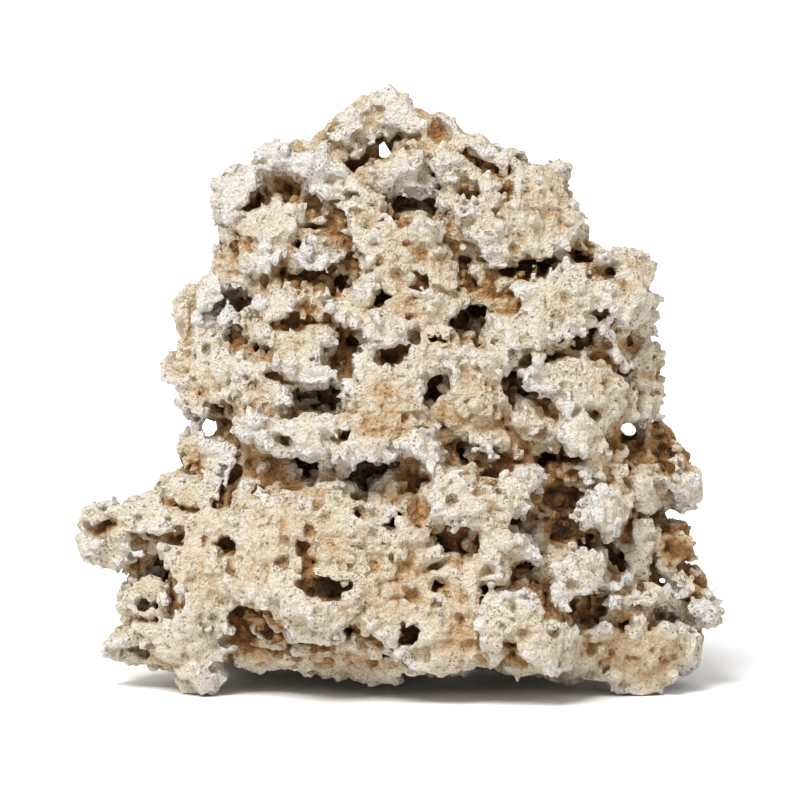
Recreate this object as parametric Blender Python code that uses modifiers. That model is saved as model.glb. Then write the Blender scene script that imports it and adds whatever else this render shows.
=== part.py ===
"""Dry reef rock: one piece of porous coral rock, as sold for aquariums, standing on its own feet.

The rock is a leaning mound. It is widest at its base, where an arm reaches out on the left, and
narrows to a blunt peak. Its front, at -Y, carries ledges and knobs with caves between them, and
four narrow tunnels run right through it. The forms of the front are placed one by one. Those of
the sides, the back and the underside are of the same kind, and are scattered with a fixed seed.

Lengths are written in millimetres and turned into metres where a shape is made. X runs to the
right of the front, Y to the back, Z up, and the rock stands on Z = 0. The forms of the front are
listed where a viewer sees them who stands before the rock with the eye a little above it.
"""

import math
import random

import bmesh
import bpy
from mathutils import Euler, Matrix, Vector

MM = 0.001

# The rock's level sections, out to the tops of its lumps: height, left, right, front, back.
SECTIONS = [
    (15, -98, 110, -70, 66),
    (24, -104, 116, -76, 74),
    (38, -101, 116, -78, 78),
    (52, -97, 112, -76, 78),
    (66, -96, 108, -74, 76),
    (82, -88, 108, -71, 73),
    (96, -79, 104, -67, 69),
    (110, -74, 97, -61, 63),
    (128, -79, 99, -57, 59),
    (146, -80, 99, -52, 54),
    (161, -70, 97, -48, 49),
    (176, -63, 79, -43, 44),
    (191, -61, 69, -38, 38),
    (205, -59, 60, -31, 31),
    (217, -41, 37, -23, 23),
    (228, -18, 16, -16, 15),
    (235, -9, 4, -8, 7),
]
CORE = (0.93, 0.82)  # how far out the solid body comes, across and in depth, between the lumps
SECTION_POWER = 2.5
RIM_SHARE = 0.97  # how near the rim, as a share of the half width, the front's depth is taken
SECTION_POINTS = 48

# Ledges and knobs of the front: x, z, half width, half height, how far it stands proud, tilt.
# The tilt is in degrees and lifts the right-hand end.
FRONT_LUMPS = [
    # broad plates that the smaller forms sit on
    (-38, 62, 30, 17, 5, -18),
    (-42, 43, 25, 14, 7, -32),
    (-14, 48, 24, 22, 5, 0),
    (-80, 36, 17, 26, 5, 0),
    (-88, 64, 22, 12, 4, 10),
    (22, 68, 24, 15, 7, 0),
    (20, 27, 28, 21, 5, 0),
    (56, 27, 18, 15, 10, -30),
    (96, 22, 24, 19, 4, 0),
    (-53, 187, 18, 17, 3, 0),
    (-10, 180, 26, 12, 3, -10),
    (44, 188, 21, 16, 4, -15),
    (72, 154, 30, 15, 6, 0),
    (77, 117, 17, 20, 10, 10),
    (-4, 114, 20, 18, 5, 0),
    (31, 115, 18, 18, 4, 0),
    (-44, 129, 25, 13, 4, 15),
    (-74, 140, 12, 25, 3, 0),
    (-32, 208, 20, 8, 3, 0),
    (8, 152, 20, 16, 3, 0),
    (-42, 152, 22, 9, 3, 0),
    (5, 206, 22, 12, -1, 0),
    # peak and shoulders
    (-6, 232, 9, 9, 3, 0),
    (-16, 223, 8, 7, 2, 20),
    (11, 225, 10, 6, 2, -20),
    (25, 218, 10, 6, 2, -28),
    (39, 211, 12, 7, 1, -25),
    (-17, 215, 8, 4, 5, 0),
    (-28, 209, 20, 6, 8, -22),
    (-44, 208, 11, 6, 2, 10),
    (-60, 196, 9, 7, 3, 35),
    (-31, 192, 10, 8, 2, 0),
    (4, 209, 12, 8, 0, 0),
    (23, 212, 9, 7, 5, -20),
    (60, 206, 8, 6, 1, 0),
    # upper face
    (-59, 190, 14, 8, 6, -10),
    (-50, 179, 12, 6, 8, 25),
    (-36, 174, 8, 6, 8, 0),
    (-21, 179, 9, 6, 2, 0),
    (-8, 181, 9, 6, 7, -20),
    (-66, 174, 8, 10, 1, 0),
    (4, 172, 13, 9, 4, 0),
    (12, 181, 8, 8, 5, 0),
    (35, 202, 5, 6, 6, 0),
    (30, 191, 9, 9, 4, 0),
    (43, 192, 10, 5, 6, -38),
    (38, 182, 9, 5, 7, 0),
    (58, 186, 14, 9, 5, -10),
    (55, 198, 11, 7, 2, 0),
    (70, 191, 6, 9, 0, 0),
    (24, 180, 8, 6, 0, 0),
    (58, 160, 18, 5, 8, 0),
    (84, 159, 17, 7, 9, 0),
    (94, 170, 10, 6, 4, -10),
    (71, 170, 9, 4, 6, -35),
    (98, 152, 7, 9, 4, 0),
    # middle face
    (15, 155, 11, 12, 6, 0),
    (-1, 166, 9, 6, 4, 0),
    (-28, 156, 13, 4, 7, -12),
    (-5, 148, 12, 6, 9, -28),
    (-12, 163, 12, 3.5, 9, 40),
    (-2, 118, 15, 13, 8, 0),
    (-15, 129, 5, 12, 7, 0),
    (20, 136, 14, 4, 8, 0),
    (32, 121, 10, 12, 5, 0),
    (47, 142, 9, 13, 11, -38),
    (64, 147, 14, 8, 10, 15),
    (-76, 141, 7, 19, 5, 0),
    (-62, 128, 8, 6, 9, 0),
    (-42, 132, 15, 5, 9, 30),
    (-33, 127, 8, 4.5, 9, 0),
    (-54, 142, 8, 4, 7, -8),
    (-38, 144, 9, 4.5, 6, 0),
    (-50, 154, 11, 6, 6, 0),
    (-66, 149, 8, 4, 5, 0),
    (-85, 154, 6, 8, -8, 0),
    (-90, 128, 6, 5, -6, 0),
    (85, 136, 8, 4, 3, -40),
    (97, 130, 6, 9, -2, 0),
    # the long ledge and what stands beside it
    (-54, 106, 13, 6, 12, -5),
    (-34, 103, 14, 6, 13, -5),
    (-13, 100, 13, 4.5, 13, 0),
    (5, 100, 13, 5, 13, 0),
    (15, 95, 7, 5, 12, -40),
    (-47, 118, 5, 9, 9, 0),
    (-80, 118, 9, 9, 5, 0),
    (-74, 94, 8, 9, 4, 0),
    (-85, 98, 4, 4, -4, 0),
    (-59, 91, 5, 8, 4, 0),
    (31, 101, 5, 4, 5, 0),
    (44, 97, 6, 4, 4, 0),
    (82, 120, 11, 12, 13, 0),
    (74, 107, 10, 10, 11, 0),
    (60, 126, 13, 6, 9, -15),
    (72, 100, 9, 6, 8, 0),
    (53, 109, 9, 5, 2, 0),
    (101, 110, 4, 8, -2, 0),
    (87, 94, 8, 4, 5, 0),
    (80, 87, 9, 5, 0, 0),
    (108, 97, 7, 6, -2, 0),
    # lower face
    (52, 87, 11, 4.5, 10, 15),
    (20, 85, 9, 7, 8, -20),
    (30, 77, 14, 9, 10, 0),
    (46, 76, 9, 5, 10, 0),
    (-55, 68, 12, 9, 8, 0),
    (-34, 72, 11, 8, 6, -15),
    (-80, 62, 12, 7, 5, 10),
    (-88, 79, 11, 7, 2, 20),
    (-14, 66, 13, 7, 8, 20),
    (2, 59, 13, 6, 9, 0),
    (2, 76, 8, 7, 2, 0),
    (48, 59, 9, 6, 11, 0),
    (40, 48, 5, 5, 11, 0),
    (84, 73, 9, 8, 12, 0),
    (74, 51, 9, 8, 10, 0),
    (66, 41, 7, 6, 9, 45),
    (101, 80, 12, 8, 5, 0),
    (115, 84, 7, 8, -6, 0),
    (100, 60, 4, 11, 5, 0),
    (93, 50, 7, 6, 2, 0),
    (115, 59, 6, 6, -4, 0),
    (116, 45, 6, 4, -2, 0),
    (124, 33, 6, 6, -4, 0),
    (88, 37, 7, 4, 6, 0),
    (97, 29, 5, 7, 7, 0),
    (86, 27, 5, 6, 5, 0),
    # bottom of the face
    (-56, 45, 15, 7, 10, -38),
    (-35, 33, 16, 12, 13, -5),
    (-10, 45, 15, 10, 8, 0),
    (-5, 29, 6, 10, 10, 0),
    (18, 28, 14, 12, 8, 0),
    (15, 16, 17, 5, 8, 0),
    (47, 32, 12, 11, 13, 0),
    (61, 21, 11, 11, 15, 0),
    (38, 25, 5, 12, 12, 0),
    (52, 12, 8, 5, 9, 0),
    (-88, 31, 11, 15, 9, 0),
    (-85, 13, 12, 6, 10, -15),
    (-104, 36, 9, 8, 0, 0),
    (-107, 18, 10, 5, -2, 10),
    (115, 18, 9, 10, 4, 0),
    (94, 12, 11, 8, 6, 0),
]
LUMP_DEPTH = 15

# Lumps that make the outline, the arm on the left among them, and the underside's edge:
# x, z, half width, half height, y, half depth.
EDGE_LUMPS = [
    # right side, downwards
    (62, 203, 7, 7, -3, 12),
    (68, 187, 10, 9, -2, 16),
    (96, 168, 11, 8, -8, 14),
    (98.5, 150, 9, 10, -6, 18),
    (101, 130, 8, 7, -10, 16),
    (102, 114, 7, 7, -8, 16),
    (106, 93, 15, 9, -14, 20),
    (100, 72, 10, 8, -12, 16),
    (116, 83, 9, 10, -16, 16),
    (115, 59, 9, 8, -18, 14),
    (117, 45.5, 10, 4, -16, 14),
    (125, 32, 7, 8, -18, 13),
    (108, 33, 16, 11, -10, 24),
    (118, 16, 9, 11, -16, 18),
    # left side, upwards
    (-109, 17, 11, 7, -24, 15),
    (-94, 17, 14, 9, -20, 22),
    (-104, 35, 11, 9, -24, 15),
    (-117, 62.5, 14, 12.5, -22, 15),
    (-101, 50, 10, 7, -8, 14),
    (-121, 57, 9, 6, -24, 12),
    (-101, 66, 14, 10, -24, 20),
    (-88, 76, 9, 8, -22, 20),
    (-81, 95, 7, 7, -14, 18),
    (-78, 110, 7, 8, -10, 20),
    (-87, 127, 7, 5, -10, 10),
    (-80, 135, 7, 9, -8, 18),
    (-81, 151, 7, 9, -8, 16),
    (-69, 166, 6, 8, -6, 16),
    (-61, 184, 7, 8, -4, 16),
    (-66, 197, 8, 6, -6, 14),
    (-50, 209, 9, 7, -4, 14),
    (-35, 209, 11, 7, -2, 14),
    (-19, 226, 8, 8, -2, 12),
    (-4, 233, 8, 10, -2, 11),
    (2, 227, 10, 8, 0, 12),
    (12, 224, 9, 8, -1, 11),
    (25, 216, 10, 7, -1, 13),
    (41, 210, 12, 7, -2, 13),
    # underside
    (-50, 19, 16, 8, -34, 20),
    (-26, 15, 13, 8, -30, 18),
    (-8, 14, 10, 9, -36, 18),
    (14, 14, 7, 8, -38, 12),
    (28, 13, 6, 8, -40, 12),
    (48, 15, 13, 8, -40, 18),
    (68, 12, 14, 9, -30, 20),
    (-30, 17, 18, 9, 20, 22),
    (30, 15, 16, 8, 12, 22),
    (40, 16, 15, 8, 46, 16),
    (-64, 16, 18, 9, 8, 22),
    (66, 17, 15, 9, 6, 20),
    (-24, 16, 18, 9, 52, 14),
]

# Feet: x, y, half width, half depth, half height, of lumps whose centres lie at FOOT_CENTRE.
FEET = [
    (-79, -44, 10, 14, 14),
    (95, -38, 14, 16, 13),
    (-66, 42, 18, 15, 14),
    (72, 45, 19, 15, 14),
    (4, 48, 16, 14, 13),
]
FOOT_CENTRE = 10

# Caves of the front: x, z, half width, half height, depth, tilt.
FRONT_CAVES = [
    (-18, 208, 5, 3.5, 18, -30),
    (-46, 200, 7, 4, 14, 10),
    (-58, 196, 3.5, 3, 14, 0),
    (13, 206, 3.5, 5.5, 15, 20),
    (4, 194, 10, 4.5, 26, 0),
    (16, 190, 4, 7, 22, 40),
    (29, 200, 4.5, 3, 12, 30),
    (-67, 157, 6, 5, 12, 0),
    (-47, 166, 5, 3.5, 16, -15),
    (-30, 165, 14, 5, 10, 0),
    (-18, 170, 5, 4, 18, 0),
    (-6, 157, 4.5, 5.5, 14, 0),
    (-12, 153, 5, 3, 13, 0),
    (31, 170, 5, 5, 22, 0),
    (25, 163, 5, 7, 15, 20),
    (52, 169, 12, 4, 15, 0),
    (75, 174, 5, 3.5, 10, -30),
    (28, 147, 8, 8, 28, 0),
    (15, 141.5, 8, 3, 15, 0),
    (-23, 141, 4.5, 4.5, 14, 0),
    (-20, 133, 4, 7, 13, 0),
    (-54, 136, 6, 3.8, 18, -25),
    (-65, 143, 5, 3.2, 9, 0),
    (-3, 132, 6.5, 3.8, 9, 0),
    (15, 123, 6, 4.5, 18, 15),
    (45, 121, 3.5, 6.5, 18, 0),
    (52, 119, 8, 3.2, 16, -20),
    (68, 136, 7, 3.5, 12, 25),
    (79, 141, 5, 4, 12, -30),
    (82, 150, 5, 3, 9, 0),
    (93, 143, 4, 3.5, 9, 0),
    (-32, 116, 11, 5.5, 26, 3),
    (-71, 115, 5, 8, 10, 0),
    (-66, 94, 3, 8, 12, 10),
    (-36, 88, 9, 5.5, 26, 0),
    (-17, 86, 8, 6, 30, 0),
    (-2, 88, 9, 5, 15, 0),
    (8, 86, 6, 5, 13, 0),
    (-14, 77, 4, 4, 20, 0),
    (26, 96, 4, 7, 22, 0),
    (35, 95, 5, 4.5, 12, 0),
    (45, 104, 4, 4.5, 16, 0),
    (47, 92, 5, 3.2, 14, 0),
    (92, 118, 4, 7, 9, 0),
    (89, 100, 5, 3.5, 14, 0),
    (62, 86, 8, 13, 15, 0),
    (68, 92, 6, 4, 22, 0),
    (66, 70, 10, 10, 13, 0),
    (55, 66, 4.5, 6, 20, 0),
    (57, 52, 5, 8, 24, 0),
    (50, 69, 6, 3, 18, 0),
    (25, 60, 8, 7, 7, 0),
    (18, 60, 4, 6, 9, 0),
    (-73, 75, 4, 3.2, 11, 0),
    (-47, 67, 3.2, 4.5, 7, 0),
    (-68, 58, 4.5, 3, 12, 0),
    (-95, 48, 6, 7, 20, 0),
    (-98, 62, 4, 3.2, 9, 0),
    (-95, 34, 4, 5, 16, 0),
    (-103, 33, 4, 3.2, 9, 0),
    (-4, 68, 4.5, 3, 12, 0),
    (-30, 43.5, 10, 4, 14, 0),
    (17, 44, 4.2, 3.2, 12, 0),
    (36, 43, 4, 3.8, 16, 0),
    (50, 49, 7, 3.5, 12, 0),
    (86, 54, 4.5, 8, 24, 0),
    (-61, 33, 6, 4.5, 16, 0),
    (-57, 22, 9, 7, 12, 0),
    (-16, 24, 6, 4, 9, 0),
    (-3, 14, 5, 4, 10, 0),
    (5, 26, 5, 4.5, 7, 0),
    (46, 20, 4.5, 4, 7, 0),
    (60, 36, 3, 4.5, 14, 0),
    (76, 34, 8, 6, 14, 0),
    (89, 31, 3.5, 3.5, 9, 0),
    (93, 41, 6, 3, 12, 0),
    (106, 93, 5, 4.5, 9, 0),
    (109, 30, 7, 4, 7, 0),
    (108, 70, 6, 5, 14, 0),
]
CAVE_RISE = 6  # degrees by which a cave climbs as it goes in
CAVE_TURN = 0.006  # radians by which it turns towards the middle for each millimetre of x
CAVE_SET_BACK = 4

# Tunnels that a viewer sees right through: x, z, radius.
TUNNELS = [
    (-5.5, 217, 4.2),
    (-77, 105.5, 3.4),
    (93.5, 105, 4.4),
    (107.5, 44, 3.2),
]
TUNNEL_SIDES = 12
TUNNEL_REACH = 100  # either way from the rock's middle

# The viewer of the lists above: degrees above level, distance, and where Z = 0 at Y = 0 is seen.
VIEW_RISE = math.radians(5)
VIEW_DISTANCE = 2000
VIEW_FLOOR = 3

# Lumps and caves scattered by the seed. Front, back and side are told apart by the angle round Z
# from straight ahead, of which the lists cover FRONT_ARC either way.
SEED = 11
FRONT_ARC = math.radians(62)
LOW_BIAS = 1.25
SCATTER_TOP = 205  # they leave the peak above this height as it is placed
SIDE_LUMPS = 200
SIDE_LUMP_SIZES = (6, 15)
SIDE_PROUD = (-3.5, 3.5)
VALLEY_LUMPS = 80
VALLEY_LUMP_SIZES = (5, 9)
VALLEY_PROUD = (-9, -3)
LUMP_WIDTHS = (0.9, 1.6)  # half width, as a multiple of the lump's size
LUMP_HEIGHTS = (0.5, 1.1)
LUMP_TIPS = ((-0.3, 0.3), (-0.7, 0.7))  # radians by which a lump tips back and sideways
SIDE_CAVES = 70
SIDE_CAVE_SIZES = (4.5, 9)
CAVE_WIDTHS = (0.7, 1.5)
CAVE_DEPTHS = (2, 3.2)
CAVE_HEIGHT = 0.7
CAVE_TIPS = ((-0.2, 0.3), (-0.6, 0.6))
UNDERSIDE_CAVES = 14
UNDERSIDE_SHAPE = (1.4, 1, 1.2)
UNDERSIDE_SPREAD = 0.6  # how far out they lie, as a share of the lowest section

VOXEL = 2.6
CAVE_VOXEL = 2.2
SKIN_VOXEL = 2
WAVES = (26, 4.5)  # size and height of the broad noise on the surface
CRUST = (9, 2)
CAVE_CRUST = (7, 1.8)
TRIANGLES = 9800
GROUND = (500, 500, 60)


def section_at(height):
    """Left, right, front and back of the rock at a height, between the sections beside it."""
    low, high = SECTIONS[0], SECTIONS[-1]
    for lower, upper in zip(SECTIONS, SECTIONS[1:]):
        if lower[0] <= height <= upper[0]:
            low, high = lower, upper
            break
    share = min(1, max(0, (height - low[0]) / (high[0] - low[0])))
    return [a + (b - a) * share for a, b in zip(low[1:], high[1:])]


def rim_point(height, angle):
    """The point that the lumps come out to, at a height and an angle round Z."""
    left, right, front, back = section_at(height)
    side, ahead = math.sin(angle), math.cos(angle)
    reach_x = (right - left) / 2
    reach_y = -front if ahead > 0 else back
    power = 2 / SECTION_POWER
    x = (left + right) / 2 + reach_x * math.copysign(abs(side) ** power, side)
    y = -reach_y * math.copysign(abs(ahead) ** power, ahead)
    return Vector((x, y, height))


def core_point(height, angle):
    """The point of the solid body between the lumps, behind the rim at the same angle."""
    left, right, _, _ = section_at(height)
    middle = Vector(((left + right) / 2, 0, height))
    reach = rim_point(height, angle) - middle
    return middle + Vector((reach.x * CORE[0], reach.y * CORE[1], 0))


def front_depth(x, height):
    """The Y that the lumps of the front come out to, at an X and a height."""
    left, right, front, _ = section_at(height)
    reach = (right - left) / 2
    share = min(RIM_SHARE, abs(x - (left + right) / 2) / reach)
    return front * (1 - share**SECTION_POWER) ** (1 / SECTION_POWER)


def seen_at(x, z, y):
    """The point at a depth that the viewer sees at x and z."""
    nearer = 1 + y / VIEW_DISTANCE
    height = (z - VIEW_FLOOR - y * math.sin(VIEW_RISE)) / math.cos(VIEW_RISE)
    return Vector((x * nearer, y, height))


def front_point(x, z):
    """The point of the front that the viewer sees at x and z."""
    point = seen_at(x, z, front_depth(x, z))
    return seen_at(x, z, front_depth(point.x, point.z))


def outward(angle):
    """The level direction that faces out of the rock at an angle round Z."""
    return Vector((math.sin(angle), -math.cos(angle), 0))


def side_angle(rng):
    """An angle round Z that lies on the sides or the back."""
    return rng.uniform(FRONT_ARC, 2 * math.pi - FRONT_ARC)


def any_height(rng):
    """A height on the rock, taken a little more often low down, where it is wider."""
    lowest = SECTIONS[0][0]
    return lowest + (SCATTER_TOP - lowest) * rng.random() ** LOW_BIAS


def tipped(rng, tips, angle):
    """A rotation that faces an angle round Z and tips back and sideways at random."""
    back, sideways = (rng.uniform(*span) for span in tips)
    return Euler((back, sideways, angle))


def add_ellipsoid(bm, centre, axes, turn=None):
    """An ellipsoid with its centre and half axes in millimetres, turned by a rotation."""
    matrix = Matrix.Translation(Vector(centre) * MM)
    if turn is not None:
        matrix = matrix @ turn.to_matrix().to_4x4()
    matrix = matrix @ Matrix.Diagonal(Vector(axes) * MM).to_4x4()
    bmesh.ops.create_icosphere(bm, subdivisions=2, radius=1, matrix=matrix)


def add_core(bm):
    """The solid body, a loft through the level sections, closed at its top and bottom."""
    rings = []
    for height, *_ in SECTIONS:
        angles = [2 * math.pi * n / SECTION_POINTS for n in range(SECTION_POINTS)]
        rings.append([bm.verts.new(core_point(height, angle) * MM) for angle in angles])
    for lower, upper in zip(rings, rings[1:]):
        for n in range(SECTION_POINTS):
            following = (n + 1) % SECTION_POINTS
            bm.faces.new((lower[n], lower[following], upper[following], upper[n]))
    bm.faces.new(reversed(rings[0]))
    bm.faces.new(rings[-1])


def add_placed_lumps(bm):
    """The ledges, knobs and feet that are placed one by one, each set into the solid body."""
    for x, z, wide, high, proud, tilt in FRONT_LUMPS:
        thick = LUMP_DEPTH + proud / 2
        centre = front_point(x, z) + Vector((0, thick - proud, 0))
        turn = Euler((0, -math.radians(tilt), 0))
        add_ellipsoid(bm, centre, (wide, thick, high), turn)
    for x, z, wide, high, y, deep in EDGE_LUMPS:
        add_ellipsoid(bm, seen_at(x, z, y), (wide, deep, high))
    for x, y, wide, deep, high in FEET:
        add_ellipsoid(bm, (x, y, FOOT_CENTRE), (wide, deep, high))


def add_scattered_lump(bm, rng, angle, sizes, prouds):
    """A lump of a random size at a random height. Most are wider than they are high."""
    size = rng.uniform(*sizes)
    axes = (size * rng.uniform(*LUMP_WIDTHS), LUMP_DEPTH, size * rng.uniform(*LUMP_HEIGHTS))
    turn = tipped(rng, LUMP_TIPS, angle)
    sunk = outward(angle) * (LUMP_DEPTH - rng.uniform(*prouds))
    add_ellipsoid(bm, rim_point(any_height(rng), angle) - sunk, axes, turn)


def add_scattered_lumps(bm, rng):
    """Lumps of the sides and back, and low ones in the valleys of the front."""
    for _ in range(SIDE_LUMPS):
        add_scattered_lump(bm, rng, side_angle(rng), SIDE_LUMP_SIZES, SIDE_PROUD)
    for _ in range(VALLEY_LUMPS):
        angle = rng.uniform(-FRONT_ARC, FRONT_ARC)
        add_scattered_lump(bm, rng, angle, VALLEY_LUMP_SIZES, VALLEY_PROUD)


def add_front_caves(bm):
    """The caves of the front. Each climbs and turns towards the middle as it goes in."""
    for x, z, wide, high, depth, tilt in FRONT_CAVES:
        turn = Euler((math.radians(CAVE_RISE), -math.radians(tilt), CAVE_TURN * x))
        centre = front_point(x, z) + Vector((0, CAVE_SET_BACK, 0))
        add_ellipsoid(bm, centre, (wide, depth + CAVE_SET_BACK, high), turn)


def add_tunnels(bm):
    """The tunnels, as cylinders that leave the rock at both ends."""
    for x, z, radius in TUNNELS:
        start = seen_at(x, z, -TUNNEL_REACH) * MM
        end = seen_at(x, z, TUNNEL_REACH) * MM
        turn = (end - start).to_track_quat("Z", "Y").to_matrix().to_4x4()
        bmesh.ops.create_cone(
            bm,
            cap_ends=True,
            segments=TUNNEL_SIDES,
            radius1=radius * MM,
            radius2=radius * MM,
            depth=(end - start).length,
            matrix=Matrix.Translation((start + end) / 2) @ turn,
        )


def add_scattered_caves(bm, rng):
    """Caves of the sides and back, and hollows of the underside."""
    for _ in range(SIDE_CAVES):
        angle = side_angle(rng)
        size = rng.uniform(*SIDE_CAVE_SIZES)
        wide, deep = size * rng.uniform(*CAVE_WIDTHS), size * rng.uniform(*CAVE_DEPTHS)
        turn = tipped(rng, CAVE_TIPS, angle)
        mouth = rim_point(any_height(rng), angle)
        add_ellipsoid(bm, mouth, (wide, deep, size * CAVE_HEIGHT), turn)
    lowest = SECTIONS[0][0]
    left, right, front, back = (edge * UNDERSIDE_SPREAD for edge in section_at(lowest))
    for _ in range(UNDERSIDE_CAVES):
        mouth = (rng.uniform(left, right), rng.uniform(front, back), lowest)
        size = rng.uniform(*SIDE_CAVE_SIZES)
        add_ellipsoid(bm, mouth, Vector(UNDERSIDE_SHAPE) * size)


def new_object(name, bm, collection):
    """An object that holds a bmesh's mesh."""
    mesh = bpy.data.meshes.new(name)
    bmesh.ops.recalc_face_normals(bm, faces=bm.faces)
    bm.to_mesh(mesh)
    bm.free()
    obj = bpy.data.objects.new(name, mesh)
    collection.objects.link(obj)
    return obj


def add_remesh(obj, name, voxel):
    """Fuses all that an object's mesh holds into one skin."""
    remesh = obj.modifiers.new(name, "REMESH")
    remesh.mode = "VOXEL"
    remesh.voxel_size = voxel * MM


def add_noise(obj, name, size_and_height):
    """Moves the surface in and out by a cloud texture of a given size and height."""
    size, height = size_and_height
    texture = bpy.data.textures.new(name, "CLOUDS")
    texture.noise_scale = size * MM
    displace = obj.modifiers.new(name, "DISPLACE")
    displace.texture = texture
    displace.texture_coords = "LOCAL"
    displace.strength = height * MM


def subtract(obj, cutter, solver):
    """Cuts one object out of another. The exact solver loses a skin as crumpled as the caves'."""
    cutter.hide_render = True
    cutter.display_type = "WIRE"
    cut = obj.modifiers.new("cut_" + cutter.name, "BOOLEAN")
    cut.operation = "DIFFERENCE"
    cut.object = cutter
    cut.solver = solver


def settle(obj):
    """Replaces an object's mesh by what its modifiers make of it, and clears them."""
    evaluated = obj.evaluated_get(bpy.context.evaluated_depsgraph_get())
    mesh = bpy.data.meshes.new_from_object(evaluated)
    obj.modifiers.clear()
    obj.data = mesh


def drop_crumbs(obj):
    """Keeps the largest skin, without the crumbs that caves cut loose and any sealed bubble."""
    bm = bmesh.new()
    bm.from_mesh(obj.data)
    unseen = set(bm.verts)
    skins = []
    while unseen:
        skin, border = set(), [unseen.pop()]
        while border:
            vertex = border.pop()
            skin.add(vertex)
            near = {edge.other_vert(vertex) for edge in vertex.link_edges} & unseen
            unseen -= near
            border.extend(near)
        skins.append(skin)
    largest = max(skins, key=len)
    loose = [vertex for vertex in bm.verts if vertex not in largest]
    bmesh.ops.delete(bm, geom=loose, context="VERTS")
    bm.to_mesh(obj.data)
    bm.free()


def thin_out(obj):
    """Leaves about TRIANGLES triangles, the larger ones where the surface is flatter."""
    thin = obj.modifiers.new("thin", "DECIMATE")
    thin.ratio = TRIANGLES / sum(len(face.vertices) - 2 for face in obj.data.polygons)
    thin.use_collapse_triangulate = True


def centre_on_origin(obj):
    """Moves the mesh sideways so that the middle of its box stands over the origin."""
    xs = [vertex.co.x for vertex in obj.data.vertices]
    ys = [vertex.co.y for vertex in obj.data.vertices]
    shift = Vector((-(min(xs) + max(xs)) / 2, -(min(ys) + max(ys)) / 2, 0))
    obj.data.transform(Matrix.Translation(shift))


def stone_material():
    """Pale, dull coral stone."""
    material = bpy.data.materials.new("reef_stone")
    material.use_nodes = True
    shader = material.node_tree.nodes["Principled BSDF"]
    shader.inputs["Base Color"].default_value = (0.73, 0.65, 0.52, 1)
    shader.inputs["Roughness"].default_value = 0.92
    return material


def new_collection(name):
    """A collection in the scene."""
    collection = bpy.data.collections.new(name)
    bpy.context.scene.collection.children.link(collection)
    return collection


def make_lumps(collection, rng):
    """The solid body with every lump on it, fused and roughened."""
    bm = bmesh.new()
    add_core(bm)
    add_placed_lumps(bm)
    add_scattered_lumps(bm, rng)
    rock = new_object("reef_rock", bm, collection)
    add_remesh(rock, "fuse", VOXEL)
    add_noise(rock, "waves", WAVES)
    add_noise(rock, "crust", CRUST)
    return rock


def make_caves(collection, rng):
    """The cutter for every cave and tunnel, fused and roughened."""
    bm = bmesh.new()
    add_front_caves(bm)
    add_tunnels(bm)
    add_scattered_caves(bm, rng)
    caves = new_object("caves", bm, collection)
    add_remesh(caves, "fuse", CAVE_VOXEL)
    add_noise(caves, "cave_crust", CAVE_CRUST)
    return caves


def make_ground(collection):
    """The cutter for all that would lie below Z = 0."""
    bm = bmesh.new()
    size = Vector(GROUND) * MM
    below = Matrix.Translation((0, 0, -size.z / 2))
    bmesh.ops.create_cube(bm, size=1, matrix=below @ Matrix.Diagonal(size).to_4x4())
    return new_object("ground", bm, collection)


def make_rock():
    """The whole rock: its lumps, less its caves and tunnels, with its feet cut level."""
    rng = random.Random(SEED)
    parts = new_collection("dry_reef_rock")
    cutters = new_collection("cutters")
    rock = make_lumps(parts, rng)
    subtract(rock, make_caves(cutters, rng), "MANIFOLD")
    add_remesh(rock, "skin", SKIN_VOXEL)
    settle(rock)
    drop_crumbs(rock)
    thin_out(rock)
    subtract(rock, make_ground(cutters), "EXACT")
    settle(rock)
    centre_on_origin(rock)
    rock.data.materials.clear()
    rock.data.materials.append(stone_material())


for old in list(bpy.data.objects):
    bpy.data.objects.remove(old)
make_rock()
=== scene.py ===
import math

import bpy
import numpy as np
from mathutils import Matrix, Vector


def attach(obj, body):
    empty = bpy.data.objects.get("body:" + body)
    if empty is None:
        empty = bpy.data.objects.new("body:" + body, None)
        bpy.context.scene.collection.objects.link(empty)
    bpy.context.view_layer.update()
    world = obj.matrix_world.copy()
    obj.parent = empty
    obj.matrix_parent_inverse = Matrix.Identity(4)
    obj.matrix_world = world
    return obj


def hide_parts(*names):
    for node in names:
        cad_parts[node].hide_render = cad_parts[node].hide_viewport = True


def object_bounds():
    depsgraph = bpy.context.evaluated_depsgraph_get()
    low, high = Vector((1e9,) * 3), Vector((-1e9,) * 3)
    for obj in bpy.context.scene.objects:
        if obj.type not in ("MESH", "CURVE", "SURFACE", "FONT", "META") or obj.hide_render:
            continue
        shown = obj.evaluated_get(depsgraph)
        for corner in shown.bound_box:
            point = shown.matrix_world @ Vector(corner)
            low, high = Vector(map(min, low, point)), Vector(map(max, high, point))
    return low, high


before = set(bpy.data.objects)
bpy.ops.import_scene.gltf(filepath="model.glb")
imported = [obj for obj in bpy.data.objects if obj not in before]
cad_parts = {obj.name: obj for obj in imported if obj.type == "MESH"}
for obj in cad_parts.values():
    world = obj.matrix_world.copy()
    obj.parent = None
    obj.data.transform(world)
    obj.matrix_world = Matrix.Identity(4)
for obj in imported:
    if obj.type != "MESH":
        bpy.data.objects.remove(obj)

import openvdb
from mathutils import Vector

CAD_BOX = [list(corner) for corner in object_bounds()]

# Lengths are in millimetres. X runs to the right of the front, Y away from the viewer, Z up.
MM = 0.001
SEED = 5
VOXEL = 0.8
BAND = 9  # how far from the surface distances are kept
FLATNESS = 0.01  # distances closer than this count as one
MARGIN = 6  # around the solid, for what stands out of it
SMOOTHING = 2  # passes over the solid's edges
LAST_CELL = 1.001  # keeps samples just within the last cell of an array
TRIANGLES = 196000

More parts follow.
